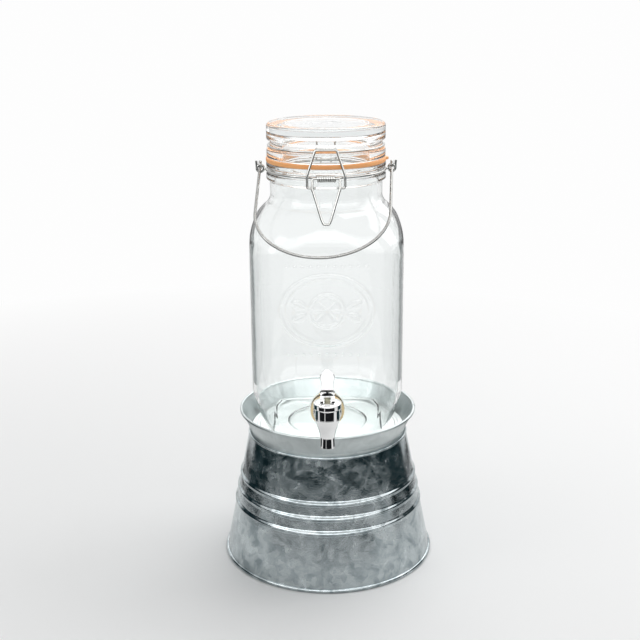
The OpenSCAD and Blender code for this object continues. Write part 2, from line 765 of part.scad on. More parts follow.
module tap_lever() {
    color("silver") difference() {
        union() {
            bar_x([0, cam_y, cam_z], fork_half, cam_r);
            translate([-fork_half, cam_y - cam_r, cam_z]) cube([2 * fork_half, 2 * cam_r, step_z - cam_z]);
            translate([-neck_half, cam_y - thumb_t / 2, step_z - past])
                cube([2 * neck_half, thumb_t, pin_z + thumb_h - step_z + past]);
            bar_y(0, pin_z + thumb_h, cam_y - thumb_t / 2, cam_y + thumb_t / 2, thumb_r);
        }
        translate([-slot_half, cam_y - 2 * cam_r, cam_z - 2 * cam_r])
            cube([2 * slot_half, 4 * cam_r, slot_top_z - cam_z + 2 * cam_r]);
        bar_y(0, slot_top_z, cam_y - 2 * cam_r, cam_y + 2 * cam_r, slot_half);
        bar_x([0, tap_y, pin_z], 2 * fork_half, lever_pin_r);
    }
}

module lever_pin() {
    color("gray") bar_x([0, tap_y, pin_z], fork_half - pin_sink, lever_pin_r);
}

module valve_stem() {
    color("tan") difference() {
        translate([0, tap_y, 0]) union() {
            translate([0, 0, seat_z + stem_seat])
                cylinder(h = head_z + past - seat_z - stem_seat, r = stem_r);
            translate([0, 0, collar_z]) cylinder(h = collar_h, r = collar_r);
            translate([0, 0, head_z]) cylinder(h = head_top_z - head_z, r = head_r);
        }
        bar_x([0, tap_y, pin_z], 2 * head_r, lever_pin_r + pin_gap);
    }
}

module valve_seal() {
    color("white") difference() {
        translate([0, tap_y, seat_z]) cylinder(h = seal_h, r = seal_r);
        translate([0, tap_y, seat_z + stem_seat - snug_gap]) cylinder(h = seal_h, r = stem_r + snug_gap);
    }
}

// One unbroken coil between the stem's collar and the bonnet
function coil_point(t) =
    let (low = collar_z + collar_h + spring_wire_r + snug_gap, high = spring_top_z - spring_wire_r - snug_gap)
    [spring_r * cos(360 * t), tap_y + spring_r * sin(360 * t), low + (high - low) * t / spring_turns];

module valve_spring() {
    steps = spring_turns * spring_ring;
    pitch = (coil_point(1) - coil_point(0))[2];
    echo(str("valve spring: least gap between turns ", pitch - 2 * spring_wire_r, " mm"));
    color("gray") loft([for (i = [0:steps])
        let (t = i / spring_ring, out = [cos(360 * t), sin(360 * t), 0])
        [for (j = [0:spring_sides - 1]) let (a = -360 * j / spring_sides)
            coil_point(t) + spring_wire_r * (cos(a) * out + sin(a) * [0, 0, 1])]]);
}

module washer(from, to, r) {
    difference() {
        bar_y(0, shank_z, from, to, r);
        bar_y(0, shank_z, from - past, to + past, hole_r);
    }
}

module outer_washer() {
    color("orange") washer(flange_back_y, boss_front_y, washer_r);
}

module inner_washer() {
    color("orange") washer(boss_back_y, inner_washer_y, flange_r);
}

module lock_nut() {
    color("white") difference() {
        translate([0, inner_washer_y, shank_z]) rotate([-90, 0, 0]) cylinder(h = nut_t, r = nut_r, $fn = 6);
        bar_y(0, shank_z, inner_washer_y - past, nut_y + past, shank_r + snug_gap);
    }
}

stand_skirt();
hem_wire();
dish_wall();
dish_floor();
rim_wire();
glass_jar();
glass_lid();
lid_gasket();
neck_band();
lid_wire();
latch_lever();
latch_loop();
carry_handle();
tap_body();
tap_bonnet();
tap_lever();
lever_pin();
valve_stem();
valve_seal();
valve_spring();
outer_washer();
inner_washer();
lock_nut();
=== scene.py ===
# %% [markdown]
# A glass drink dispenser: a clip-top jar with a lever tap, standing in the dish of a galvanised
# pedestal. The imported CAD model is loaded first. It fixes every size and every moving body, so
# this lesson only has to dress it: smoother meshes where the CAD solid is faceted, and a finish
# for each surface.

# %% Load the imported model
import json
import math

import bmesh
import bpy
from mathutils import Matrix, Vector


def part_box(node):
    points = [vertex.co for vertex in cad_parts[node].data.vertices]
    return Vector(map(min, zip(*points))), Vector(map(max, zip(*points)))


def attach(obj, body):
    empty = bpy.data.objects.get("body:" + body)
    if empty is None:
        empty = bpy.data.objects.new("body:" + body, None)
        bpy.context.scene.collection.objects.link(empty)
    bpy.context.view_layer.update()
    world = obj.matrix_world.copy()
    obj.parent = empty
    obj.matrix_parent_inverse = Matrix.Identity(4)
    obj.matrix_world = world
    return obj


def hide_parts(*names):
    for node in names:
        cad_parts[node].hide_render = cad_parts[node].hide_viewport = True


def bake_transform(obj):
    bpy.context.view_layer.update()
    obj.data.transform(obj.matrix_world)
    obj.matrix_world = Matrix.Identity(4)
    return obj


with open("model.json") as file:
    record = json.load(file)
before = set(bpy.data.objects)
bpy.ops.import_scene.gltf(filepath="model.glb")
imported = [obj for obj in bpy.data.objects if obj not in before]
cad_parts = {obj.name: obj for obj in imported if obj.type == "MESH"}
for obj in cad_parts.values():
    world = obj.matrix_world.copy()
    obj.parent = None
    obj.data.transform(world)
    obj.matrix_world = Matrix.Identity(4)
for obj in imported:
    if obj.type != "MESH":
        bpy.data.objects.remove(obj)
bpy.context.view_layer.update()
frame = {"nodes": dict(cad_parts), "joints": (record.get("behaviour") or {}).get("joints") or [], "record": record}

scene = bpy.context.scene
scene.view_settings.view_transform = "Standard"

# %% [markdown]
# Shapes are written in millimetres, as on a drawing, and turned into metres when a piece is made.
# Sizes could be typed twice, once for the CAD and once here. Reading them off the loaded nodes and joints is
# safer. The CAD record also says which body a node belongs to and which slot it has; a piece that stands for a
# node asks the record for its body.

# %% Read sizes off the frame
MM = 0.001
JOINTS = {joint["name"]: joint for joint in frame["joints"]}
BODIES = frame["record"]["behaviour"]["bodies"]
BODY_OF = {node: body for body, nodes in BODIES.items() for node in nodes}


def box_mm(node):
    """Lowest and highest corner of a node, in millimetres."""
    low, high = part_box(node)
    return low / MM, high / MM


def pivot_mm(joint):
    """A point on a hinge's axis, in millimetres."""
    return Vector(JOINTS[joint]["pos_m"]) / MM


print("bodies:", ", ".join(BODIES))

# %% [markdown]
# Wires, pressed edges and the outlines of turned parts are all paths. They could be Blender
# curves, but plain lists of points are easier to move, reverse and join, so a few functions make
# such lists. A bend rounds the corners of a path, which gives a pressed edge its radius and a
# wire its turns.

# %% Bends
STRAIGHT = 0.01


def bend(corners, radius, closed=False, steps=8):
    """Path through corners in which each corner is turned by an arc."""
    corners = [Vector(corner) for corner in corners]
    count = len(corners)
    radii = radius if isinstance(radius, (list, tuple)) else [radius] * count
    path = []
    for i, corner in enumerate(corners):
        back = (corners[i - 1] - corner).normalized()
        ahead = (corners[(i + 1) % count] - corner).normalized()
        at_end = not closed and i in (0, count - 1)
        turn = 0 if at_end or radii[i] == 0 else math.pi - back.angle(ahead)
        if turn < STRAIGHT:
            path.append(corner)
            continue
        reach = radii[i] * math.tan(turn / 2)
        start = corner + back * reach
        end = corner + ahead * reach
        centre = corner + (back + ahead).normalized() * radii[i] / math.cos(turn / 2)
        for k in range(steps + 1):
            t = k / steps
            spoke = (start - centre) * math.sin((1 - t) * turn)
            spoke += (end - centre) * math.sin(t * turn)
            path.append(centre + spoke / math.sin(turn))
    return path


def outline(corners, steps=6):
    """Closed outline from corners of (radius, height, rounding)."""
    places = [corner[:2] for corner in corners]
    return bend(places, [corner[2] for corner in corners], True, steps)


rounded_square = outline([(0, 0, 1), (4, 0, 1), (4, 4, 1), (0, 4, 1)])
print("a rounded square has", len(rounded_square), "points")

# %% Arcs, circles and a soft step
def arc(centre, radius, start, end, steps=12):
    """Points on an arc in a plane, with its angles in degrees."""
    angles = [math.radians(start + (end - start) * k / steps) for k in range(steps + 1)]
    return [(centre[0] + radius * math.cos(a), centre[1] + radius * math.sin(a)) for a in angles]


def circle(centre, radius, axis, steps):
    """Points on a circle about a line along X, Y or Z."""
    first, second = {"X": (1, 2), "Y": (0, 2), "Z": (0, 1)}[axis]
    points = []
    for k in range(steps):
        point = Vector(centre)
        point[first] += radius * math.cos(2 * math.pi * k / steps)
        point[second] += radius * math.sin(2 * math.pi * k / steps)
        points.append(point)
    return points


def ease(t):
    """Smooth step from 0 to 1."""
    t = min(1, max(0, t))
    return t * t * (3 - 2 * t)


print("a quarter turn has", len(arc((0, 0), 1, 0, 90)), "points")

# %% [markdown]
# Three tools turn paths into skins, in the way that the real pieces are made. A lathe spins an
# outline, as sheet metal is spun and tap parts are turned. A sweep draws a round wire along a
# path; a bevelled curve would do it too, but its twist is hard to steer. A prism pushes an
# outline along one axis. All of them return corners and faces, so that skins can be joined before
# a mesh is made.

# %% Lathe
ON_AXIS = 1e-6


def lathe(line, axis=(0, 0), segments=192, turn=None):
    """Spins a closed outline of (radius, height) about an upright axis, wholly or in part."""
    start, end = turn or (0, 360)
    steps = segments if turn is None else max(2, round(segments * (end - start) / 360))
    columns = steps if turn is None else steps + 1
    verts, rings, faces = [], [], []
    for radius, height in line:
        first = len(verts)
        single = radius < ON_AXIS
        rings.append([first] * columns if single else list(range(first, first + columns)))
        for k in range(1 if single else columns):
            a = math.radians(start + (end - start) * k / steps)
            verts.append((axis[0] + radius * math.cos(a), axis[1] + radius * math.sin(a), height))
    for i, low in enumerate(rings):
        high = rings[(i + 1) % len(rings)]
        for k in range(steps):
            n = (k + 1) % columns
            face = list(dict.fromkeys([low[k], low[n], high[n], high[k]]))
            if len(face) > 2:
                faces.append(face)
    if turn is not None:
        faces += [[ring[0] for ring in rings], [ring[-1] for ring in rings]]
    return verts, faces


print("a spun square has", len(lathe(rounded_square)[1]), "faces")

# %% Sweep
def sweep(path, radius, sides=14, closed=False):
    """Round wire along a path, its section carried along without twist."""
    path = [Vector(point) for point in path]
    count = len(path)
    verts, faces = [], []
    side = (path[1] - path[0]).orthogonal().normalized()
    for i, point in enumerate(path):
        ahead = path[(i + 1) % count] if closed else path[min(i + 1, count - 1)]
        behind = path[i - 1] if closed else path[max(i - 1, 0)]
        along = (ahead - behind).normalized()
        side = (side - along * side.dot(along)).normalized()
        up = along.cross(side)
        for k in range(sides):
            a = 2 * math.pi * k / sides
            verts.append(point + radius * (math.cos(a) * side + math.sin(a) * up))
    for i in range(count if closed else count - 1):
        low, high = i * sides, (i + 1) % count * sides
        for k in range(sides):
            n = (k + 1) % sides
            faces.append([low + k, low + n, high + n, high + k])
    if not closed:
        faces += [list(range(sides)), [(count - 1) * sides + k for k in range(sides)]]
    return verts, faces


print("a short wire has", len(sweep([(0, 0, 0), (0, 0, 5)], 1)[1]), "faces")

# %% Prism, joins and turns
def prism(line, axis, low, high):
    """Pushes a flat outline along X or Y; the outline's own axes are the other two."""
    verts = [(level, a, b) if axis == "X" else (a, level, b)
             for level in (low, high) for a, b in line]
    count = len(line)
    faces = [[k, (k + 1) % count, count + (k + 1) % count, count + k] for k in range(count)]
    return verts, faces + [list(range(count)), list(range(count, 2 * count))]


def joined(*shells):
    """Several shells as one."""
    verts, faces = [], []
    for more_verts, more_faces in shells:
        base = len(verts)
        verts += list(more_verts)
        faces += [[base + i for i in face] for face in more_faces]
    return verts, faces


def laid_forward(shell, height):
    """Lays an upright shell down so that its axis runs along Y at a height."""
    verts, faces = shell
    return [(v[0], v[2], v[1] + height) for v in verts], faces


print("a pushed square has", len(prism(rounded_square, "X", 0, 5)[1]), "faces")

# %% [markdown]
# Slots and holes are cut by Boolean modifiers, and a Bevel modifier rounds the edges that are left. They could
# stay on the object, but the export wants plain meshes, so their result is taken at once. Each piece is shaded
# smooth, with edges kept sharp by their angle. Its normals are weighted by the size of the faces, because a flat
# wall beside a rounded edge would otherwise reflect like a bent one. Then the piece rides on its node's body and
# stands in for the node.

# %% Meshes and cuts
EDGE_SEGMENTS = 3
EDGE_ANGLE = math.radians(35)


def plain_mesh(name, shell):
    """Mesh of a shell with its normals pointing out, still in millimetres."""
    mesh = bpy.data.meshes.new(name)
    mesh.from_pydata([tuple(v) for v in shell[0]], [], shell[1])
    work = bmesh.new()
    work.from_mesh(mesh)
    bmesh.ops.recalc_face_normals(work, faces=work.faces)
    work.to_mesh(mesh)
    work.free()
    return mesh


def applied(made):
    """New mesh of an object with its modifiers applied."""
    graph = bpy.context.evaluated_depsgraph_get()
    return bpy.data.meshes.new_from_object(made.evaluated_get(graph))


def carved(shell, edge, cutters=()):
    """Cuts shells out of a shell and rounds the edges that are left."""
    blanks = [bpy.data.objects.new("blank", plain_mesh("blank", s)) for s in (shell, *cutters)]
    for blank in blanks:
        scene.collection.objects.link(blank)
    target = blanks[0]
    for cutter in blanks[1:]:
        cut = target.modifiers.new("cut", "BOOLEAN")
        cut.object = cutter
        cut.operation = "DIFFERENCE"
    rounding = target.modifiers.new("edge", "BEVEL")
    rounding.width = edge
    rounding.segments = EDGE_SEGMENTS
    rounding.limit_method = "ANGLE"
    rounding.angle_limit = EDGE_ANGLE
    mesh = applied(target)
    shell = [v.co.copy() for v in mesh.vertices], [list(p.vertices) for p in mesh.polygons]
    for blank in blanks:
        bpy.data.objects.remove(blank)
    return shell


print("edges are rounded in", EDGE_SEGMENTS, "steps")

# %% Finished pieces
def piece(name, shell, finish, node, sharp=40, rides=True):
    """A piece that stands for a CAD node and rides on that node's body."""
    mesh = plain_mesh(name, shell)
    mesh.transform(Matrix.Scale(MM, 4))
    mesh.shade_smooth()
    mesh.set_sharp_from_angle(angle=math.radians(sharp))
    mesh.materials.append(finish)
    made = bpy.data.objects.new(name, mesh)
    scene.collection.objects.link(made)
    even = made.modifiers.new("even_flats", "WEIGHTED_NORMAL")
    even.keep_sharp = True
    made.data = applied(made)
    made.data.name = name
    made.modifiers.clear()
    bpy.data.meshes.remove(mesh)
    if rides:
        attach(made, BODY_OF[node])
    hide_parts(node)
    print(f"{name}: {len(made.data.polygons)} faces on body {BODY_OF[node]}")
    return made


# %% [markdown]
# The camera stands in front of the dispenser and looks down on it a little. It could be placed by
# eye and aimed with a Track To constraint. Here its place, tilt and lens were found by fitting
# the jar's known width and height, and the rings of the stand, to the photograph, so they are set
# as numbers.

# %% Camera
CAMERA_PLACE = Vector((0, -1.0397, 0.5466))
CAMERA_PITCH = math.radians(16.78)
CAMERA_YAW = math.radians(0.363)
CAMERA_ROLL = math.radians(0.439)
CAMERA_LENS = 64.38

ahead = Vector((0, math.cos(CAMERA_PITCH), -math.sin(CAMERA_PITCH)))
right = Vector((1, 0, 0))
down = ahead.cross(right)
heading = Matrix.Rotation(CAMERA_YAW, 3, "Z")
across = heading @ (right * math.cos(CAMERA_ROLL) + down * math.sin(CAMERA_ROLL))
upward = heading @ (right * math.sin(CAMERA_ROLL) - down * math.cos(CAMERA_ROLL))
turned = Matrix((across, upward, -(heading @ ahead))).transposed().to_4x4()
camera = bpy.data.objects.new("camera", bpy.data.cameras.new("camera"))
scene.collection.objects.link(camera)
camera.matrix_world = Matrix.Translation(CAMERA_PLACE) @ turned
camera.data.lens = CAMERA_LENS
scene.camera = camera
print("camera looks down", round(math.degrees(CAMERA_PITCH), 2), "degrees")

# %% [markdown]
# Shader trees are built from Python, one node after another. A few helpers keep that short: put
# adds a node with its inputs filled or linked, and the others add a sum, a change of range and a
# mix of two colours.

# %% Node helpers
def put(tree, kind, **inputs):
    """Adds a node; inputs are named with underscores, and a socket as a value is linked."""
    node = tree.nodes.new(kind)
    for name, value in inputs.items():
        key = int(name[1:]) if name[0] == "_" else name.replace("_", " ")
        if isinstance(value, bpy.types.NodeSocket):
            tree.links.new(value, node.inputs[key])
        else:
            node.inputs[key].default_value = value
    return node


def maths(tree, operation, first, second):
    """Result of one sum."""
    node = put(tree, "ShaderNodeMath", _0=first, _1=second)
    node.operation = operation
    return node.outputs[0]


def spread(tree, value, low, high, to_low, to_high):
    """A value moved from one range to another, and held there."""
    node = put(tree, "ShaderNodeMapRange", Value=value, From_Min=low, From_Max=high,
               To_Min=to_low, To_Max=to_high)
    return node.outputs["Result"]


def blended(tree, share, first, second):
    """A colour between two colours, by a share that comes from a socket."""
    node = tree.nodes.new("ShaderNodeMix")
    node.data_type = "RGBA"
    tree.links.new(share, node.inputs[0])
    node.inputs[6].default_value = (*first, 1)
    node.inputs[7].default_value = (*second, 1)
    return node.outputs[2]


def mixed_surface(tree, share, first, second):
    """Mix of two shaders."""
    node = put(tree, "ShaderNodeMixShader", _0=share, _1=first.outputs[0], _2=second.outputs[0])
    return node.outputs[0]


print("node helpers ready")

# %% [markdown]
# Glass and polished metal show the room more than themselves, so the room is built with care. Its
# surroundings could be one white world, but a world that is white to look at gives too much
# light. Light Path parts the two: what the camera, a reflection or the glass sees is white, and
# the light that falls on the object is weaker.

# %% Surroundings
LIGHT_LEVEL = 0.45
BACKDROP_WHITE = (0.985, 0.985, 0.985, 1)
world = bpy.data.worlds.new("studio")
world.use_nodes = True
scene.world = world
tree = world.node_tree
tree.nodes.clear()
rays = tree.nodes.new("ShaderNodeLightPath").outputs
seen_rays = maths(tree, "MAXIMUM", rays["Is Camera Ray"], rays["Is Glossy Ray"])
seen_rays = maths(tree, "MAXIMUM", seen_rays, rays["Is Transmission Ray"])
lighting = put(tree, "ShaderNodeBackground", Color=(1, 1, 1, 1), Strength=LIGHT_LEVEL)
seen = put(tree, "ShaderNodeBackground", Color=BACKDROP_WHITE, Strength=1.0)
put(tree, "ShaderNodeOutputWorld", Surface=mixed_surface(tree, seen_rays, lighting, seen))
print("surroundings at light level", LIGHT_LEVEL)

# %% [markdown]
# The floor is plain and pale. Near the object it is an ordinary matt surface, so that it keeps
# the soft shadow. Further off it would meet the surroundings at a hard line, so it fades to the
# same white, by its distance from a place beside the object.

# %% Floor
FLOOR_HALF = 9.0
FLOOR_DROP = 0.0002
FLOOR_GREY = (0.84, 0.845, 0.845, 1)
FLOOR_ROUGHNESS = 0.6
SHADED_TO = 0.16
WHITE_FROM = 1.0
FADE_CENTRE = (-0.1, 0, 0)


def floor_finish():
    """White floor that keeps the object's shadow near it and fades to plain white further off."""
    material = bpy.data.materials.new("studio_floor")
    material.use_nodes = True
    tree = material.node_tree
    lit = tree.nodes["Principled BSDF"]
    lit.inputs["Base Color"].default_value = FLOOR_GREY
    lit.inputs["Roughness"].default_value = FLOOR_ROUGHNESS
    lit.inputs["Specular IOR Level"].default_value = 0.0
    place = tree.nodes.new("ShaderNodeTexCoord").outputs["Object"]
    far = put(tree, "ShaderNodeVectorMath", _0=place, _1=FADE_CENTRE)
    far.operation = "DISTANCE"
    fade = spread(tree, far.outputs["Value"], SHADED_TO, WHITE_FROM, 0, 1)
    rays = tree.nodes.new("ShaderNodeLightPath").outputs
    direct = maths(tree, "MAXIMUM", rays["Is Camera Ray"], rays["Is Transmission Ray"])
    share = maths(tree, "MULTIPLY", fade, direct)
    white = put(tree, "ShaderNodeEmission", Color=BACKDROP_WHITE, Strength=1.0)
    surface = mixed_surface(tree, share, lit, white)
    tree.links.new(surface, tree.nodes["Material Output"].inputs["Surface"])
    return material


floor_corners = [(x * FLOOR_HALF, y * FLOOR_HALF, -FLOOR_DROP)
                 for x, y in ((-1, -1), (1, -1), (1, 1), (-1, 1))]
floor_mesh = bpy.data.meshes.new("floor")
floor_mesh.from_pydata(floor_corners, [], [(0, 1, 2, 3)])
floor_mesh.materials.append(floor_finish())
floor = bpy.data.objects.new("floor", floor_mesh)
scene.collection.objects.link(floor)
print("floor", 2 * FLOOR_HALF, "m across")

# %% [markdown]
# Five wide lamps give soft studio light: one overhead, one behind, one on each side and one in
# front. A single sun would draw hard shadows, and a point lamp would show as a spot in the
# chrome. Each lamp is given by its place, its size and its power, and is turned to the middle of
# the object.

# %% Lamps
AIM = Vector((0, 0, 0.2))
LAMPS = (
    ("overhead_lamp", (0.3, 0.5, 1.6), (1.2, 1.2), 9.5),
    ("back_lamp", (0.35, 1.5, 1.2), (2.0, 0.7), 7.0),
    ("right_lamp", (1.25, 0.35, 0.95), (0.7, 1.2), 4.0),
    ("left_lamp", (-1.2, -0.55, 0.8), (0.5, 1.1), 2.0),
    ("front_lamp", (0, -1.5, 1.05), (1.2, 0.5), 3.0))
for name, place, (width, height), power in LAMPS:
    light = bpy.data.lights.new(name, "AREA")
    light.shape = "RECTANGLE"
    light.size = width
    light.size_y = height
    light.energy = power
    lamp = bpy.data.objects.new(name, light)
    scene.collection.objects.link(lamp)
    lamp.location = place
    lamp.rotation_euler = (Vector(place) - AIM).to_track_quat("Z", "Y").to_euler()
    lamp.visible_camera = False
print("lamps:", ", ".join(lamp[0] for lamp in LAMPS))

# %% [markdown]
# A photographer sets dark cloths and white cards round chrome and glass, just out of sight, and
# the object shows them as crisp bands. The sheets here do the same. Each one lies between two
# rows of places round the tap, given by bearing, reach and height. The camera, the diffuse light
# and the shadows pass them by, so that they only show in reflections or through glass.

# %% Sheets of the room
ROOM_CENTRE = Vector((0, -0.1, 0))
CREASE_STEP = 6


def ring_part(bearings, reach, height):
    """Places on a part of a ring round the tap, as (bearing, reach, height)."""
    low, high = bearings
    count = max(1, round((high - low) / CREASE_STEP))
    return [(low + (high - low) * k / count, reach, height) for k in range(count + 1)]


def room_place(bearing, reach, height):
    """A place round the tap, with its bearing in degrees from straight ahead of it."""
    a = math.radians(bearing)
    return ROOM_CENTRE + Vector((reach * math.sin(a), -reach * math.cos(a), height))


def room_sheet(name, near, far, finish, reflected=True, through_glass=False):
    """Sheet between two rows of places, seen only in reflections or through glass."""
    count = len(near)
    faces = [(k, k + 1, count + k + 1, count + k) for k in range(count - 1)]
    mesh = bpy.data.meshes.new(name)
    mesh.from_pydata([room_place(*spot) for spot in near + far], [], faces)
    mesh.materials.append(finish)
    sheet = bpy.data.objects.new(name, mesh)
    scene.collection.objects.link(sheet)
    sheet.visible_camera = False
    sheet.visible_diffuse = False
    sheet.visible_shadow = False
    sheet.visible_transmission = through_glass
    sheet.visible_glossy = reflected


def floor_ring(name, bearings, near, far, height, finish):
    """Flat part of a ring on the floor, between two reaches."""
    room_sheet(name, ring_part(bearings, near, height), ring_part(bearings, far, height), finish)


print("sheets are creased every", CREASE_STEP, "degrees")

# %% [markdown]
# Cloth and card are matt, and a card glows a little, as if lit. The grey cloth beside the jar has
# one more rule. Light that runs inside one wall of glass leaves it at the jar's edge, and there
# the cloth draws the dark line that shows where clear glass ends. Light that has crossed the
# whole jar would show the cloth as a grey patch, so the cloth is clear to rays that went through
# more glass.

# %% Cloth and card
ONE_WALL = 2.5


def room_finish(name, colour, glow=0.0):
    """Matt cloth or card for the room."""
    material = bpy.data.materials.new(name)
    material.use_nodes = True
    shader = material.node_tree.nodes["Principled BSDF"]
    shader.inputs["Base Color"].default_value = colour
    shader.inputs["Specular IOR Level"].default_value = 0.0
    shader.inputs["Emission Color"].default_value = (1, 1, 1, 1)
    shader.inputs["Emission Strength"].default_value = glow
    return material


def edge_cloth(name, colour):
    """Cloth for rays that stay inside one wall of glass; rays that cross the jar pass it by."""
    material = room_finish(name, colour)
    tree = material.node_tree
    depth = tree.nodes.new("ShaderNodeLightPath").outputs["Transmission Depth"]
    crossed = maths(tree, "GREATER_THAN", depth, ONE_WALL)
    clear = tree.nodes.new("ShaderNodeBsdfTransparent")
    surface = mixed_surface(tree, crossed, tree.nodes["Principled BSDF"], clear)
    tree.links.new(surface, tree.nodes["Material Output"].inputs["Surface"])
    return material


DARK_CLOTH = room_finish("dark_cloth", (0.012, 0.013, 0.015, 1))
BLUE_CLOTH = room_finish("blue_cloth", (0.016, 0.042, 0.05, 1))
GREY_CLOTH = edge_cloth("grey_cloth", (0.34, 0.37, 0.37, 1))
WHITE_CARD = room_finish("white_card", (0.8, 0.8, 0.8, 1), 0.6)
FRONT_CARD = room_finish("front_card", (0.8, 0.8, 0.8, 1), 1.5)
print("cloths:", DARK_CLOTH.name, BLUE_CLOTH.name, GREY_CLOTH.name)

# %% [markdown]
# Upright chrome looks down at the floor in front of it, and the higher a place is on the tap, the
# further off it looks. So each band on the tap has its own ring on the floor: two rows of mats
# for the dark windows of the barrel and the bonnet, and a card, a slim mat and a card for the
# lever. A small dome and a tie in front draw the dark shape at the lever's root.

# %% Mats and cards on the floor
MAT_Z = 0.001
TOP_MAT_Z = 2 * MAT_Z
MAT_BEARINGS = ((-150, -95), (-75, -26), (-20, 60), (90, 150))
MAT_ROWS = (("near_mat", 0.325, 0.372), ("far_mat", 0.40, 0.495))
LEVER_BEARINGS = (-40, 40)
LEVER_ROWS = (
    ("near_card", 0.497, 0.533, WHITE_CARD),
    ("slim_mat", 0.533, 0.546, DARK_CLOTH),
    ("far_card", 0.546, 0.62, WHITE_CARD))
DOME_HALF = 1.3
DOME_NEAR, DOME_FOOT, DOME_RISE = 0.506, 0.509, 0.017
TIE_BEARINGS = (-0.3, 0.3)
TIE_NEAR, TIE_FAR = 0.524, 0.535

for name, near, far in MAT_ROWS:
    for k, bearings in enumerate(MAT_BEARINGS):
        floor_ring(f"{name}_{k}", bearings, near, far, MAT_Z, DARK_CLOTH)
for name, near, far, finish in LEVER_ROWS:
    floor_ring(name, LEVER_BEARINGS, near, far, MAT_Z, finish)
dome_near, dome_far = [], []
for k in range(-9, 10):
    share = math.sin(math.radians(10 * k))
    crown = math.sqrt(1 - min(1, share ** 2))
    dome_near.append((DOME_HALF * share, DOME_NEAR, TOP_MAT_Z))
    dome_far.append((DOME_HALF * share, DOME_FOOT + DOME_RISE * crown, TOP_MAT_Z))
room_sheet("dome_mat", dome_near, dome_far, DARK_CLOTH)
floor_ring("tie_mat", TIE_BEARINGS, TIE_NEAR, TIE_FAR, TOP_MAT_Z, DARK_CLOTH)
print("floor mats:", len(MAT_ROWS) * len(MAT_BEARINGS), "and", len(LEVER_ROWS), "for the lever")

# %% [markdown]
# Three upright kinds stand further out. A dark blue curtain round the front darkens the upper
# skirt, a bright card above it lights the faces that look up to the front, and a grey flag on
# each side draws the dark edges of the jar.

# %% Curtain, card and flags
CURTAIN = (
    (-128, 0.36, 0.25), (-90, 0.55, 0.35), (-60, 0.85, 0.4), (-30, 1.15, 0.35), (0, 1.3, 0.3),
    (30, 1.15, 0.35), (60, 0.85, 0.4), (90, 0.55, 0.35), (128, 0.36, 0.25))
CARD_BEARINGS, CARD_REACH = (-75, 75), 1.6
CARD_LOW, CARD_HIGH = 0.55, 1.7
FLAGS = (("left_flag", (-155, -80)), ("right_flag", (80, 155)))
FLAG_REACH = 0.35
FLAG_LOW, FLAG_HIGH = 0.09, 0.32

curtain_foot = [(bearing, reach, MAT_Z) for bearing, reach, top in CURTAIN]
room_sheet("dark_curtain", curtain_foot, list(CURTAIN), BLUE_CLOTH)
room_sheet("front_card", ring_part(CARD_BEARINGS, CARD_REACH, CARD_LOW),
           ring_part(CARD_BEARINGS, CARD_REACH, CARD_HIGH), FRONT_CARD, through_glass=True)
for name, bearings in FLAGS:
    room_sheet(name, ring_part(bearings, FLAG_REACH, FLAG_LOW),
               ring_part(bearings, FLAG_REACH, FLAG_HIGH), GREY_CLOTH,
               reflected=False, through_glass=True)
print("flags:", ", ".join(name for name, bearings in FLAGS))

# %% [markdown]
# Zinc crystals, drawn wire, polish marks and moulded rubber share a few surface effects. They
# could be built again in each material. Here each effect is a node group with named inputs and
# outputs, so that one group serves many finishes at different scales. The first is zinc on sheet
# steel: cloudy patches, crystal cells whose edges drift with the clouds, and a fine grain.

# %% Zinc spangle
CLOUD_DRIFT = (0.012, 0.012, 0.012)
GRAIN_SCALE = 900.0
CELL_SHARE = 0.16
PATCH_LOW, PATCH_HIGH = 0.40, 0.74


def effect(name, inputs, outputs):
    """Empty node group with named number inputs and outputs."""
    group = bpy.data.node_groups.new(name, "ShaderNodeTree")
    face = group.interface
    for socket, value in inputs.items():
        made = face.new_socket(socket, in_out="INPUT", socket_type="NodeSocketFloat")
        made.default_value = value
    for socket in outputs:
        face.new_socket(socket, in_out="OUTPUT", socket_type="NodeSocketFloat")
    return group, group.nodes.new("NodeGroupInput"), group.nodes.new("NodeGroupOutput")


def spangle_effect():
    """Cloudy patches and crystal cells of zinc on sheet steel."""
    scales = {"Patch Scale": 45, "Cell Scale": 140}
    group, given, result = effect("zinc_spangle", scales, ["Patches", "Cells", "Grain"])
    place = group.nodes.new("ShaderNodeTexCoord").outputs["Object"]
    cloud = put(group, "ShaderNodeTexNoise", Vector=place, Scale=given.outputs["Patch Scale"],
                Detail=7.0, Roughness=0.62, Distortion=0.7)
    drift = put(group, "ShaderNodeVectorMath", _0=cloud.outputs["Color"], _1=CLOUD_DRIFT)
    drift.operation = "MULTIPLY"
    moved = put(group, "ShaderNodeVectorMath", _0=place, _1=drift.outputs[0])
    cells = put(group, "ShaderNodeTexVoronoi", Vector=moved.outputs[0],
                Scale=given.outputs["Cell Scale"])
    shade = put(group, "ShaderNodeSeparateColor", _0=cells.outputs["Color"]).outputs[0]
    grain = put(group, "ShaderNodeTexNoise", Vector=place, Scale=GRAIN_SCALE, Detail=3.0,
                Roughness=0.6)
    cell_part = maths(group, "MULTIPLY", shade, CELL_SHARE)
    both = maths(group, "ADD", cloud.outputs["Fac"], cell_part)
    patches = spread(group, both, PATCH_LOW, PATCH_HIGH, 0, 1)
    group.links.new(patches, result.inputs["Patches"])
    group.links.new(shade, result.inputs["Cells"])
    group.links.new(grain.outputs["Fac"], result.inputs["Grain"])
    return group


SPANGLE = spangle_effect()
print("effect:", SPANGLE.name)

# %% [markdown]
# The second effect is what hands, polishing and moulds leave behind: soft smudges, and bumps that
# are too small to model. Smudges change colour and gloss, and bumps only bend the light.

# %% Handling marks
SMUDGE_LOW, SMUDGE_HIGH = 0.3, 0.7


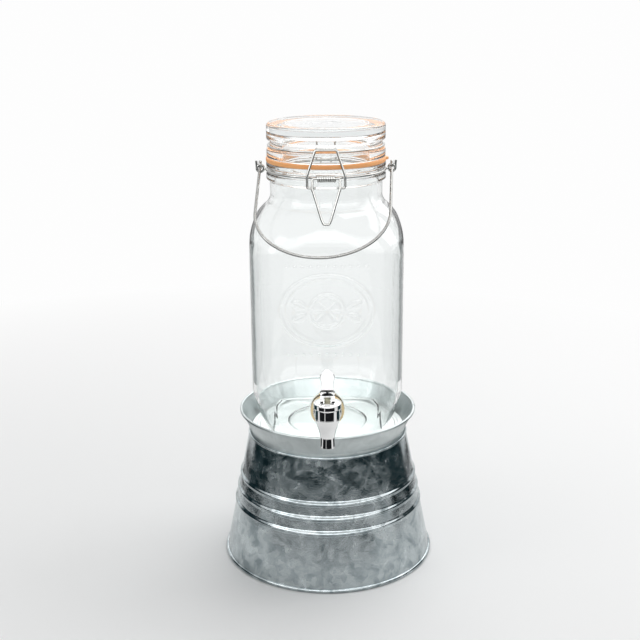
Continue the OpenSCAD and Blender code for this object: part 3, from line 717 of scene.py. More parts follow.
def handling_effect():
    """Faint smudges and small bumps left by polishing, moulding and handling."""
    scales = {"Smudge Scale": 60, "Bump Scale": 400}
    group, given, result = effect("handling_marks", scales, ["Smudge", "Bumps"])
    place = group.nodes.new("ShaderNodeTexCoord").outputs["Object"]
    smudge = put(group, "ShaderNodeTexNoise", Vector=place, Scale=given.outputs["Smudge Scale"],
                 Detail=4.0, Roughness=0.55, Distortion=0.3)
    bumps = put(group, "ShaderNodeTexNoise", Vector=place, Scale=given.outputs["Bump Scale"],
                Detail=2.0)
    spots = spread(group, smudge.outputs["Fac"], SMUDGE_LOW, SMUDGE_HIGH, 0, 1)
    group.links.new(spots, result.inputs["Smudge"])
    group.links.new(bumps.outputs["Fac"], result.inputs["Bumps"])
    return group


HANDLING = handling_effect()
print("effect:", HANDLING.name)

# %% [markdown]
# Every finish starts from the Principled shader, with its constants set, an effect placed with
# its own scales, and the effect's values led to colour, gloss and relief.

# %% Finish helpers
def new_finish(name, **constants):
    """Material with a Principled shader and its constant values."""
    material = bpy.data.materials.new(name)
    material.use_nodes = True
    tree = material.node_tree
    shader = tree.nodes["Principled BSDF"]
    for socket, value in constants.items():
        shader.inputs[socket.replace("_", " ")].default_value = value
    return material, tree, shader


def placed(tree, group, **inputs):
    """Outputs of a shared effect that is placed in a material with its own values."""
    node = tree.nodes.new("ShaderNodeGroup")
    node.node_tree = group
    for name, value in inputs.items():
        node.inputs[name.replace("_", " ")].default_value = value
    return node.outputs


def colour_with(tree, shader, value, first, second):
    """Base colour that follows an effect's value."""
    tree.links.new(blended(tree, value, first, second), shader.inputs["Base Color"])


def rough_with(tree, shader, value, low, high):
    """Roughness that follows an effect's value."""
    tree.links.new(spread(tree, value, 0, 1, low, high), shader.inputs["Roughness"])


def bump_with(tree, shader, height, strength, distance):
    """Relief from an effect's value."""
    bump = put(tree, "ShaderNodeBump", Strength=strength, Distance=distance, Height=height)
    tree.links.new(bump.outputs[0], shader.inputs["Normal"])


print("finish helpers ready")

# %% [markdown]
# Galvanised sheet has zinc crystals that lie in cloudy patches, some bright and some dull. The skirt is the dark,
# glossy kind and the dish is paler and more even. The dish's floor is the same zinc painted nearly white, as
# painted light that stands for the strong light from overhead. All three use the same group with other scales and
# colours.

# %% Sheet metal finishes
ZINC_RELIEF = 0.12
ZINC_DEPTH = 0.0004


def galvanised(name, dark, pale, gloss, patch_scale, cell_scale):
    """Zinc on sheet steel between a dark and a pale tone."""
    material, tree, shader = new_finish(name, Metallic=1.0)
    zinc = placed(tree, SPANGLE, Patch_Scale=patch_scale, Cell_Scale=cell_scale)
    colour_with(tree, shader, zinc["Patches"], dark, pale)
    rough_with(tree, shader, zinc["Patches"], *gloss)
    height = maths(tree, "ADD", zinc["Cells"], zinc["Grain"])
    bump_with(tree, shader, height, ZINC_RELIEF, ZINC_DEPTH)
    return material


SKIRT_ZINC = galvanised(
    "skirt_zinc", (0.26, 0.305, 0.32), (0.60, 0.65, 0.665), (0.08, 0.28), 52, 160)
DISH_ZINC = galvanised(
    "dish_zinc", (0.45, 0.49, 0.49), (0.62, 0.66, 0.66), (0.28, 0.42), 30, 90)
# Painted light: the dish floor takes the dish's zinc painted nearly white, to stand for the strong light from
# overhead.
PLATE_ZINC_PAINTED_LIGHT = galvanised(
    "plate_zinc_painted_light", (0.80, 0.83, 0.82), (0.90, 0.92, 0.91), (0.36, 0.52), 30, 90)
print("sheet finishes:", SKIRT_ZINC.name, DISH_ZINC.name, PLATE_ZINC_PAINTED_LIGHT.name)

# %% [markdown]
# Wire, chrome, rubber and plastic each get smudges and small bumps from the handling group. A flat colour would do
# from afar, but up close it looks like paint. The handle's wire takes the clip's steel painted darker, as painted
# shade for the darker look of the handle. The two rubbers are an orange one for the lid's ring, painted paler than
# its own orange as painted light from the front, and an amber one for the tap.

# %% Wire, chrome, rubber and plastic
MARK_DEPTH = 0.0002
WIRE_MARKS = {"metallic": 1.0, "smudge_scale": 120, "bump_scale": 900, "relief": 0.08}
RUBBER_MARKS = {"metallic": 0.0, "smudge_scale": 80, "bump_scale": 700, "relief": 0.1}


def marked(name, colour, worn, gloss, metallic, smudge_scale, bump_scale, relief):
    """Finish whose colour and gloss drift with handling marks."""
    material, tree, shader = new_finish(name, Metallic=metallic)
    marks = placed(tree, HANDLING, Smudge_Scale=smudge_scale, Bump_Scale=bump_scale)
    colour_with(tree, shader, marks["Smudge"], colour, worn)
    rough_with(tree, shader, marks["Smudge"], *gloss)
    bump_with(tree, shader, marks["Bumps"], relief, MARK_DEPTH)
    return material


WIRE_STEEL = marked(
    "wire_steel", (0.60, 0.60, 0.585), (0.46, 0.46, 0.445), (0.16, 0.30), **WIRE_MARKS)
# Painted shade: the clip's wire steel painted darker for the handle, to stand for the shade on it.
HANDLE_STEEL_PAINTED_SHADE = marked(
    "handle_steel_painted_shade", (0.44, 0.44, 0.43), (0.33, 0.33, 0.32), (0.16, 0.30), **WIRE_MARKS)
TAP_CHROME = marked(
    "tap_chrome", (0.90, 0.90, 0.90), (0.84, 0.84, 0.84), (0.012, 0.03),
    metallic=1.0, smudge_scale=90, bump_scale=60, relief=0.01)
PLAIN_STEEL = marked(
    "plain_steel", (0.62, 0.62, 0.61), (0.48, 0.48, 0.47), (0.25, 0.4),
    metallic=1.0, smudge_scale=140, bump_scale=800, relief=0.1)
# Painted light: the ring's orange is the rubber's own colour painted paler, to stand for strong light from the
# front.
ORANGE_RUBBER_PAINTED_LIGHT = marked(
    "orange_rubber", (1.0, 0.50, 0.20), (1.0, 0.42, 0.14), (0.38, 0.5), **RUBBER_MARKS)
AMBER_RUBBER = marked(
    "amber_rubber", (1.0, 0.84, 0.52), (1.0, 0.76, 0.42), (0.35, 0.5), **RUBBER_MARKS)
SEAL_RUBBER = marked(
    "seal_rubber", (0.82, 0.82, 0.79), (0.74, 0.74, 0.70), (0.4, 0.55), **RUBBER_MARKS)
STEM_PLASTIC = marked(
    "stem_plastic", (0.66, 0.64, 0.48), (0.56, 0.54, 0.40), (0.3, 0.42),
    metallic=0.0, smudge_scale=150, bump_scale=500, relief=0.1)
NUT_PLASTIC = marked(
    "nut_plastic", (0.82, 0.82, 0.80), (0.74, 0.74, 0.72), (0.32, 0.45),
    metallic=0.0, smudge_scale=90, bump_scale=500, relief=0.1)
print("metals:", WIRE_STEEL.name, HANDLE_STEEL_PAINTED_SHADE.name, TAP_CHROME.name, PLAIN_STEEL.name)

# %% [markdown]
# Pressed glass is clear but never quite flat, and a long path through it looks grey green, which
# is what darkens the jar's sides. So the glass takes a faint ripple from the handling group and a
# little absorption inside. Glass made only of a surface would look thin. A lamp's rays pass
# straight through, as they nearly do in life, so that the dish under the jar stays bright.

# %% Glass
GLASS_TINT = (0.50, 0.585, 0.585, 1)
SHADOW_SHARE = (0.94, 0.95, 0.95, 1)
GLASS_IOR = 1.5
RIPPLE_DEPTH = 0.001


def clear_glass(name, tint, ripple_scale, relief, density):
    """Clear pressed glass with a slight ripple."""
    material, tree, shader = new_finish(
        name, Base_Color=tint, Roughness=0.0, IOR=GLASS_IOR, Transmission_Weight=1.0)
    marks = placed(tree, HANDLING, Bump_Scale=ripple_scale)
    bump_with(tree, shader, marks["Bumps"], relief, RIPPLE_DEPTH)
    shadow_ray = tree.nodes.new("ShaderNodeLightPath").outputs["Is Shadow Ray"]
    clear = put(tree, "ShaderNodeBsdfTransparent", Color=SHADOW_SHARE)
    inside = put(tree, "ShaderNodeVolumeAbsorption", Color=GLASS_TINT, Density=density)
    output = tree.nodes["Material Output"]
    surface = mixed_surface(tree, shadow_ray, shader, clear)
    tree.links.new(surface, output.inputs["Surface"])
    tree.links.new(inside.outputs[0], output.inputs["Volume"])
    return material


JAR_GLASS = clear_glass("jar_glass", (0.965, 0.977, 0.975, 1), 45, 0.10, 8.0)
LID_GLASS = clear_glass("lid_glass", (0.99, 0.995, 0.995, 1), 60, 0.05, 3.0)
print("glass finishes:", JAR_GLASS.name, LID_GLASS.name)

# %% [markdown]
# The pedestal is a cone of sheet steel. Three ribs are rolled into it, its foot is curled round a
# wire and its top edge is curled over. A cone with a Solidify modifier would have sharp, open
# ends, so one closed outline with its curls is spun on the lathe and gives all of this in a
# single skin.

# %% Outline of the skirt
SHEET = 0.8
skirt_high = box_mm("stand_skirt")[1]
BASE_R = min(skirt_high.x, skirt_high.y)
WAIST_H = skirt_high.z
WAIST_R = 75.7
HEM_R = 2.0
HEM_C = BASE_R - HEM_R
HEM_Z = 1.7
FOOT_SHIFT = 0.3
CURL_R = 1.1
RIB_FIRST, RIB_PITCH, RIB_COUNT = 54.5, 13.5, 3
RIB_HEIGHTS = [RIB_FIRST + RIB_PITCH * k for k in range(RIB_COUNT)]
RIB_HALF = 3.0
RIB_PROUD = 1.5
RIB_STEPS = 10
SIDE_LOW, SIDE_HIGH = 6.0, 121.0


def cone_r(z):
    """Radius of the skirt's plain cone at a height."""
    return WAIST_R + (WAIST_H - z) * (HEM_C + FOOT_SHIFT - WAIST_R) / (WAIST_H - HEM_Z)


def rib_line(rib_z):
    """One rolled rib, as a wave on the cone."""
    line = []
    for k in range(-RIB_STEPS, RIB_STEPS + 1):
        u = k / RIB_STEPS
        z = rib_z + u * RIB_HALF
        line.append((cone_r(z) + RIB_PROUD * (1 + math.cos(math.pi * u)) / 2, z))
    return line


def skirt_side(low, high, out):
    """The skirt's side from a low to a high place, moved out by a thickness."""
    ribs = [place for z in RIB_HEIGHTS for place in rib_line(z)]
    line = [(cone_r(low), low)] + ribs + [(cone_r(high), high)]
    return [(r + out, z) for r, z in line]


hem = [(r, max(z, 0)) for r, z in arc((HEM_C, HEM_Z), HEM_R, -243, 93, 28)]
curl = arc((WAIST_R, WAIST_H - CURL_R), CURL_R, -66, 250, 20)
skirt_line = (hem + skirt_side(SIDE_LOW, SIDE_HIGH, 0) + curl
              + skirt_side(SIDE_LOW, SIDE_HIGH, -SHEET)[::-1])
print("skirt outline:", len(skirt_line), "points")

# %% [markdown]
# The sheet's two ends are hooked together in a folded seam up the back. It could be a bump in the
# finish, but its edge catches the light, so it is a strip that follows the ribs, with the fold on
# it.

# %% Skirt with its seam
SEAM_W = 9.0
SEAM_PROUD = 0.7
SEAM_LOW, SEAM_HIGH, SEAM_MID = 4.0, 121.5, 60.0
FOLD_OUT, FOLD_IN = 0.5, 0.2
BACK = 90

seam_side = skirt_side(SEAM_LOW, SEAM_HIGH, SEAM_PROUD)
seam_half = math.degrees(SEAM_W / 2 / cone_r(SEAM_MID))


def seam_strip(out, back, end):
    """Strip of the seam between two faces, from its right edge to an end."""
    line = [(r + out, z) for r, z in seam_side] + [(r - back, z) for r, z in seam_side[::-1]]
    return lathe(line, turn=(BACK - seam_half, end))


seam = seam_strip(0, SHEET, BACK + seam_half)
fold = seam_strip(FOLD_OUT, FOLD_IN, BACK - seam_half / 2)
skirt = joined(lathe(skirt_line, segments=256), seam, fold)
piece("skirt_sheet", skirt, SKIRT_ZINC, "stand_skirt")

# %% [markdown]
# The dish's wall is a flared strip with a rim rolled round a wire. Its ends lap at the right,
# where a short sleeve covers the joint in the rim. It is spun like the skirt, because the roll
# has to be a true curl that shows a bright line.

# %% Wall of the dish
dish_low, dish_high = box_mm("dish_wall")
FLOOR_Z = box_mm("dish_floor")[1].z
RIM_OUT = 84.6
RIM_R = 1.4
RIM_C = RIM_OUT - RIM_R
RIM_Z = dish_high.z - RIM_R
COLLAR_R = 74.55
KNEE_Z = FLOOR_Z - SHEET
KNEE_DROP, KNEE_RISE, KNEE_OUT = 1.0, 0.6, 0.3
LAP_W = 9.0
LAP_PROUD = 0.6
LAP_OUT, LAP_RISE, LAP_SINK = 1.2, 2.0, 0.3
SLEEVE_PROUD = 0.3

rim = arc((RIM_C, RIM_Z), RIM_R, 246, 574, 28)
wall_foot = [(COLLAR_R, dish_low.z), (COLLAR_R, KNEE_Z - KNEE_DROP),
             (COLLAR_R + KNEE_OUT, KNEE_Z + KNEE_RISE)]
wall_line = wall_foot + rim + [(r - SHEET, z) for r, z in wall_foot[::-1]]
lap_half = math.degrees(LAP_W / 2 / RIM_C)
lap_foot = COLLAR_R + LAP_OUT
lap_line = [(lap_foot, KNEE_Z + LAP_RISE), (lap_foot + LAP_PROUD, KNEE_Z + LAP_RISE),
            (RIM_C + LAP_PROUD, RIM_Z), (RIM_C - LAP_SINK, RIM_Z)]
lap = lathe(lap_line, turn=(-lap_half, lap_half))
sleeve_line = arc((RIM_C, RIM_Z), RIM_R + SLEEVE_PROUD, 0, 345, 23)
sleeve = lathe(sleeve_line, turn=(-lap_half / 2, lap_half / 2))
strip = joined(lathe(wall_line, segments=256), lap, sleeve)
piece("dish_strip", strip, DISH_ZINC, "dish_wall")

# %% [markdown]
# The floor of the dish is a flat plate. A shallow ring is pressed into it outside the jar's foot,
# which stiffens it and keeps the jar in the middle. The ring is part of the outline, so it has a
# real edge under the glass.

# %% Floor of the dish
floor_r = box_mm("dish_floor")[1].x
RING_R = 67.0
RING_RISE = 0.6
RING_TURN = 0.8
SEAT_DIP = 0.2
ring_z = FLOOR_Z + RING_RISE
seat_z = FLOOR_Z - SEAT_DIP
floor_line = outline([
    (0, KNEE_Z, 0), (floor_r, KNEE_Z, 0.2), (floor_r, FLOOR_Z, 0.3),
    (RING_R + 2, FLOOR_Z, RING_TURN), (RING_R + 1, ring_z, RING_TURN),
    (RING_R - 1, ring_z, RING_TURN), (RING_R - 2, seat_z, RING_TURN), (0, seat_z, 0)])
piece("dish_plate", lathe(floor_line, segments=192), PLATE_ZINC_PAINTED_LIGHT, "dish_floor")

# %% [markdown]
# The jar is a rounded square that turns into a round neck. A subdivided cube would come close,
# but its walls would bulge. Here every ring of points is found along fixed rays from the jar's
# axis, so that the same columns serve the square body and the round neck without crowding. Two
# arcs make the shoulder, and a curve draws in the heel.

# %% Jar: body and shoulder
jar_low, jar_high = box_mm("glass_jar")
JAR_Z = jar_low.z
RIM_TOP = jar_high.z
BODY_HALF = jar_high.x
CORNER_R = 42
BODY_FLAT = BODY_HALF - CORNER_R
HEEL_H = 50.0
HEEL_RUN = 18.5
HEEL_CURVE = 1.5
NECK_R = 51.5
NECK_H = 28
NECK_Z = RIM_TOP - NECK_H
SHOULDER_H = 41.0
SHOULDER_Z = NECK_Z - SHOULDER_H
LOFT_NECK_R = NECK_R - 0.3
SHOULDER_TURN = 2 * math.atan((BODY_HALF - LOFT_NECK_R) / SHOULDER_H)
SHOULDER_SUM = SHOULDER_H / math.sin(SHOULDER_TURN)
SHOULDER_R = 0.73 * SHOULDER_SUM
THROAT_R = SHOULDER_SUM - SHOULDER_R
FLAT_LEAD = 10.0


def heel_inset(z):
    """How far the heel draws in at a height."""
    rise = max(0, HEEL_H - (z - JAR_Z))
    return HEEL_RUN * (rise / HEEL_H) ** HEEL_CURVE


def shoulder_inset(z):
    """How far the shoulder draws in: an arc outwards, then an arc into the neck."""
    h = z - SHOULDER_Z
    if h <= SHOULDER_R * math.sin(SHOULDER_TURN):
        return SHOULDER_R - math.sqrt(SHOULDER_R ** 2 - max(h, 0) ** 2)
    hollow = math.sqrt(THROAT_R ** 2 - (SHOULDER_H - h) ** 2)
    return BODY_HALF - LOFT_NECK_R - THROAT_R + hollow


def flat_at(z):
    """Half the flat of a side at a height: it shrinks to nothing towards the neck."""
    return BODY_FLAT * (1 - ease((z - SHOULDER_Z + FLAT_LEAD) / SHOULDER_H))


print("shoulder arcs:", round(SHOULDER_R, 1), "and", round(THROAT_R, 1), "mm")

# %% Jar: where a ray meets the wall
def ray_radius(angle, half, flat):
    """Distance from the axis to a rounded square along a ray, and the outward direction there."""
    c, s = abs(math.cos(angle)), abs(math.sin(angle))
    if c * flat >= s * half:
        radius, out = half / c, (1, 0)
    elif s * flat >= c * half:
        radius, out = half / s, (0, 1)
    else:
        corner = half - flat
        along = flat * (c + s)
        radius = along + math.sqrt(max(0, along ** 2 - 2 * flat ** 2 + corner ** 2))
        out = ((radius * c - flat) / corner, (radius * s - flat) / corner)
    out_x = math.copysign(out[0], math.cos(angle))
    return radius, Vector((out_x, math.copysign(out[1], math.sin(angle)), 0))


corner_reach = ray_radius(math.pi / 4, BODY_HALF, BODY_FLAT)[0]
print("from the axis to a corner:", round(corner_reach, 1), "mm")

# %% [markdown]
# A raised design is pressed into the jar's front: an oval frame, a citrus slice and leaves, with
# rows of beads. It could be a bump in the finish, but glass bends light by its true surface, so
# the design is real relief in the mesh. It is written as a height over each place of the front,
# from 0 to 1.

# %% Jar: ridges and leaves
LEAF_LEN, LEAF_HALF, LEAF_CURVE = 16, 4.6, 0.8
LEAF_HEIGHT, LEAF_EDGE = 0.8, 1.4
VEIN_DEPTH, VEIN_HALF = 0.5, 0.8


def ridge(distance, half):
    """Rounded ridge across a line."""
    t = abs(distance) / half
    return 0 if t >= 1 else (1 - t * t) ** 2


def leaf(x, z, tilt):
    """Pointed leaf with a middle vein, lying outward from the slice."""
    a = math.radians(tilt)
    u = x * math.cos(a) + z * math.sin(a)
    v = -x * math.sin(a) + z * math.cos(a)
    if not 0 < u < LEAF_LEN:
        return 0
    width = LEAF_HALF * math.sin(math.pi * u / LEAF_LEN) ** LEAF_CURVE
    blade = LEAF_HEIGHT * ease((width - abs(v)) / LEAF_EDGE)
    return max(0, blade - VEIN_DEPTH * ridge(v, VEIN_HALF))


print("a leaf is", round(leaf(LEAF_LEN / 2, VEIN_HALF, 0), 2), "high beside its vein")

# %% Jar: slice and beads
SLICE_R, PEEL_HALF, PEEL_GAP = 15.5, 1.5, 2.0
SEGMENTS = 8
SEGMENT_TURN = 360 / SEGMENTS
SEGMENT_HEIGHT, SEGMENT_EDGE, SEGMENT_GAP = 0.85, 1.3, 0.5
BEAD_ROWS = (222.0, 302.0)
BEAD_PITCH = 7.0
BEAD_REACH = 35.0
BEAD_R = 1.9


def citrus(x, up):
    """Slice with its peel and its segments."""
    far = math.hypot(x, up)
    high = ridge(far - SLICE_R, PEEL_HALF)
    if PEEL_GAP < far < SLICE_R - PEEL_GAP:
        share = (math.degrees(math.atan2(up, x)) % SEGMENT_TURN) / SEGMENT_TURN
        side = far * math.radians(SEGMENT_TURN) * (0.5 - abs(share - 0.5))
        depth = min(side - SEGMENT_GAP, SLICE_R - PEEL_GAP - far)
        high = max(high, SEGMENT_HEIGHT * ease(depth / SEGMENT_EDGE))
    return high


def beads(x, z):
    """Rows of round beads."""
    high = 0
    for row in BEAD_ROWS:
        if abs(z - row) < BEAD_R and abs(x) < BEAD_REACH + BEAD_R:
            near = round(x / BEAD_PITCH) * BEAD_PITCH
            high = max(high, ridge(math.hypot(x - near, z - row), BEAD_R))
    return high


print("the slice has", SEGMENTS, "segments")

# %% Jar: the whole design
DESIGN_Z = 262.0
OVAL_X, OVAL_Z = 41.0, 33.0
FRAME_HALF = 1.6
INNER_GAP, INNER_HALF, INNER_HEIGHT = 4.2, 1.0, 0.7
LEAF_TILTS = (-24, 24)
LEAF_ROOT, LEAF_RISE = 1.5, 2.5


def design(x, z):
    """Height of the pressed design, from 0 to 1."""
    up = z - DESIGN_Z
    oval = (math.hypot(x / OVAL_X, up / OVAL_Z) - 1) * OVAL_Z
    inner = INNER_HEIGHT * ridge(oval + INNER_GAP, INNER_HALF)
    leaves = [leaf(side * x - SLICE_R - LEAF_ROOT, up - math.copysign(LEAF_RISE, tilt), tilt)
              for side in (-1, 1) for tilt in LEAF_TILTS]
    return max(ridge(oval, FRAME_HALF), inner, citrus(x, up), beads(x, z), *leaves)


print("design:", 2 * OVAL_X, "by", 2 * OVAL_Z, "mm")

# %% [markdown]
# One function makes a ring of the jar's skin at a height. The front has closer rays, because the
# design is there. Round the tap's hole the wall swells to a flat pad on both sides, on which the
# washers can seal. The hole itself is hidden by the washers and stays closed.

# %% Jar: one ring of its skin
RELIEF = 0.75
DESIGN_REACH = 60
NECK_MARGIN = 8
FINE_ANGLE = 38.0
FINE_STEP = 0.6
COARSE_STEP = 2.3
FRONT = 270
washer_low, washer_high = box_mm("outer_washer")
SHANK_Z = (washer_low.z + washer_high.z) / 2
PAD_FRONT = washer_high.y
PAD_BACK = box_mm("inner_washer")[0].y
PAD_FADE = 2.0
PAD_R = washer_high.x - PAD_FADE - 0.2


def spaced(low, high, step):
    """Even places from low up to but not including high."""
    count = max(1, math.ceil((high - low) / step - 1e-6))
    return [low + (high - low) * k / count for k in range(count)]


front_angles = spaced(FRONT - FINE_ANGLE, FRONT + FINE_ANGLE, FINE_STEP)
other_angles = spaced(FRONT + FINE_ANGLE, FRONT + 360 - FINE_ANGLE, COARSE_STEP)
RAYS = [math.radians(a) for a in front_angles + other_angles]


def jar_ring(z, half, flat=0, outside=True):
    """One ring of the jar's skin, with the pad round the tap and, outside, the pressed design."""
    ring = []
    for angle in RAYS:
        radius, out = ray_radius(angle, half, flat)
        point = Vector((radius * math.cos(angle), radius * math.sin(angle), z))
        if point.y < 0 and abs(point.x) < DESIGN_REACH:
            if outside and half > NECK_R + NECK_MARGIN:
                point += out * RELIEF * design(point.x, z)
            near = ease(1 + (PAD_R - math.hypot(point.x, z - SHANK_Z)) / PAD_FADE)
            level = min(point.y, PAD_FRONT) if outside else max(point.y, PAD_BACK)
            point.y += near * (level - point.y)
        ring.append(point)
    return ring


print("each ring has", len(RAYS), "points")

# %% [markdown]
# Now the rings are stacked: from the hollow under the base, round the foot, up the outside, over
# the neck with its two beads and the groove for the band, and down the inside to the base. Rings
# lie closer where the design, the heel and the shoulder need them.

# %% Jar: rows of its skin
WALL = 3.4
BASE_T = 7.0
FOOT_EDGE = 3.0
CAVITY_EDGE = 2.0
PUNT_R = 38.0
PUNT_D = 1.5
NECK_IN_R = 47.5
NECK_START = NECK_Z + 0.6
NECK_BEAD_R = 54.6
BAND_GROOVE_R = 53
LOWER_BEAD = (368.5, 369.2, 375.5)
UPPER_BEAD = 380.5
HEEL_TOP, TAP_TOP, DESIGN_LOW, DESIGN_HIGH = 140, 196, 216, 308


def side_half(z, inside):
    """Half width of the wall's outer or inner face at a height."""
    shoulder = shoulder_inset(z) if z > SHOULDER_Z else 0
    return BODY_HALF - (WALL if inside else 0) - heel_inset(z) - shoulder


def foot_rows(base_z, edge, inside):
    """The rounded edge where the heel turns into the base, as (height, half width)."""
    low = base_z + edge
    half = side_half(low, inside)
    angles = [math.radians(10 * k) for k in range(9)]
    return [(low - edge * math.cos(a), half - edge * (1 - math.sin(a))) for a in angles]


outer_heights = (
    spaced(JAR_Z + FOOT_EDGE, HEEL_TOP, 1.5) + spaced(HEEL_TOP, TAP_TOP, 1.2)
    + spaced(TAP_TOP, DESIGN_LOW, 2.0) + spaced(DESIGN_LOW, DESIGN_HIGH, 0.75)
    + spaced(DESIGN_HIGH, SHOULDER_Z, 2.0) + spaced(SHOULDER_Z, NECK_Z, 1.4))
inner_heights = (
    spaced(JAR_Z + BASE_T + CAVITY_EDGE, TAP_TOP, 1.6) + spaced(TAP_TOP, SHOULDER_Z, 6.0)
    + spaced(SHOULDER_Z, NECK_Z, 1.6))
neck_corners = [
    (NECK_R, NECK_START, 0), (NECK_R, LOWER_BEAD[0], 2.0), (NECK_BEAD_R, LOWER_BEAD[1], 1.6),
    (NECK_BEAD_R, LOWER_BEAD[2], 1.6), (BAND_GROOVE_R, LOWER_BEAD[2], 0.8),
    (BAND_GROOVE_R, UPPER_BEAD, 0.8), (NECK_BEAD_R, UPPER_BEAD, 1.6), (NECK_BEAD_R, RIM_TOP, 1.6),
    (NECK_IN_R, RIM_TOP, 1.6), (NECK_IN_R, NECK_START, 0)]
neck_line = bend([c[:2] for c in neck_corners], [c[2] for c in neck_corners], steps=6)
punt_line = [(PUNT_R - 2, PUNT_D), (PUNT_R - 0.6, PUNT_D * 0.8), (PUNT_R, PUNT_D * 0.4),
             (PUNT_R + 1, 0)]

rows = [jar_ring(JAR_Z + rise, r) for r, rise in punt_line]
rows += [jar_ring(z, half, BODY_FLAT) for z, half in foot_rows(JAR_Z, FOOT_EDGE, False)]
rows += [jar_ring(z, side_half(z, False), flat_at(z)) for z in outer_heights]
rows += [jar_ring(z, r) for r, z in neck_line]
rows += [jar_ring(z, side_half(z, True), flat_at(z), False) for z in inner_heights[::-1]]
rows += [jar_ring(z, half, flat_at(z), False)
         for z, half in foot_rows(JAR_Z + BASE_T, CAVITY_EDGE, True)[::-1]]
print("jar:", len(rows), "rings")

# %% [markdown]
# Neighbouring rings are joined by faces, and a fan closes the first and the last ring at the
# axis. The skin is one closed surface, which glass needs: the light has to know when it is
# inside.

# %% Jar: close the skin
columns = len(RAYS)
jar_verts = [p for ring in rows for p in ring]
under, floor_spot = len(jar_verts), len(jar_verts) + 1
jar_verts += [Vector((0, 0, JAR_Z + PUNT_D)), Vector((0, 0, JAR_Z + BASE_T))]
last = (len(rows) - 1) * columns
jar_faces = []
for k in range(columns):
    n = (k + 1) % columns
    for low in range(0, last, columns):
        high = low + columns
        jar_faces.append([low + k, low + n, high + n, high + k])
    jar_faces += [[k, n, under], [last + k, last + n, floor_spot]]
piece("jar_glass", (jar_verts, jar_faces), JAR_GLASS, "glass_jar", sharp=80)

# %% [markdown]
# The lid is a thick pressed plug with a hollow below and a groove for its wire. Seen through so
# much glass, the rubber ring under it is thrown up in streaks. A thin shell would not do that, so
# the lid is one closed skin with true roundings, spun from its section.

# %% Glass lid
lid_low, lid_high = box_mm("glass_lid")
gasket_low, gasket_high = box_mm("lid_gasket")
LID_R = lid_high.x
LID_Z = gasket_high.z
GROOVE_Z = LID_Z + 8.5
GROOVE_TOP = GROOVE_Z + 7
GROOVE_R = LID_R - 3
PLUG_R = 44.5
HOLLOW_R = 40.0
hollow_z = lid_high.z - 9.0
lid_line = outline([
    (0, hollow_z, 0), (HOLLOW_R, hollow_z, 3), (HOLLOW_R, lid_low.z, 1.0),
    (PLUG_R, lid_low.z, 1.2), (PLUG_R, LID_Z, 0.5), (LID_R, LID_Z, 1.4), (LID_R, GROOVE_Z, 1.6),
    (GROOVE_R, GROOVE_Z, 1.0), (GROOVE_R, GROOVE_TOP, 1.0), (LID_R, GROOVE_TOP, 2.0),
    (LID_R, lid_high.z, 3.0), (0, lid_high.z, 0)], steps=8)
piece("lid_glass", lathe(lid_line, segments=256), LID_GLASS, "glass_lid", sharp=80)

# %% [markdown]
# The orange ring seals the lid and has a small tab to pull it off by. Rubber that is pressed on
# glass wets it, and no air shows between them. A gap, even a thin one, would mirror the light
# like silver, so the ring reaches a hair into the glass above and below.

# %% Rubber ring
RING_IN = PLUG_R + 0.3
RING_OUT = -gasket_low.x
PRESSED = 0.1
TAB_R = 4.0
TAB_HALF = 1.2
seal_low, seal_high = gasket_low.z - PRESSED, gasket_high.z + PRESSED
ring_line = outline([
    (RING_IN, seal_low, 0.4), (RING_OUT, seal_low, 1.3),
    (RING_OUT, seal_high, 1.3), (RING_IN, seal_high, 0.4)])
tab_z = (gasket_low.z + gasket_high.z) / 2
tab_line = outline([
    (0, tab_z - TAB_HALF, 0), (TAB_R, tab_z - TAB_HALF, 0.6),
    (TAB_R, tab_z + TAB_HALF, 0.6), (0, tab_z + TAB_HALF, 0)])
tab = lathe(tab_line, axis=(gasket_high.x - TAB_R, 0), segments=64)
ring = joined(lathe(ring_line, segments=256), tab)
piece("rubber_ring", ring, ORANGE_RUBBER_PAINTED_LIGHT, "lid_gasket")

# %% [markdown]
# The clip is bent from steel wire. Its fixed part is a band round the neck, with a coil in front
# that carries the lever, two eyes at the back for the lid and an ear on each side for the handle.
# The CAD wires are eight-sided and the front coil is a row of rings, so each wire is drawn again,
# round, along the same path, and the coil as a true winding.

# %% Neck band: ring and coil
WIRE_R = 1.1
EYE_R = 2.26
hinge = pivot_mm("lid_hinge")
latch = pivot_mm("latch_lever_pivot")
BAND_R = 54.4
BAND_Z = latch.z
COIL_TURNS = 8
COIL_PITCH = 1.98
TURN_STEPS = 24
COIL_END = COIL_PITCH * COIL_TURNS / 2

coil = []
for k in range(COIL_TURNS * TURN_STEPS + 1):
    turn = k / TURN_STEPS
    a = 2 * math.pi * turn
    coil.append((COIL_PITCH * turn - COIL_END, latch.y + EYE_R * math.cos(a),
                 BAND_Z + EYE_R * math.sin(a)))
band_shells = [
    sweep(circle((0, 0, BAND_Z), BAND_R, "Z", 160), WIRE_R, closed=True), sweep(coil, WIRE_R)]
print("coil of", COIL_TURNS, "turns")

# %% Neck band: ends, eyes and ears
EAR_X = 60.0
EAR_R = 3.2
EAR_TAIL = 7.0
TAIL_R = WIRE_R * 0.95
REAR_EYE_X = 5.5


def eye(x, y, z, radius, axis, wire_r=WIRE_R, steps=32):
    """Closed ring of wire."""
    return sweep(circle((x, y, z), radius, axis, steps), wire_r, closed=True)


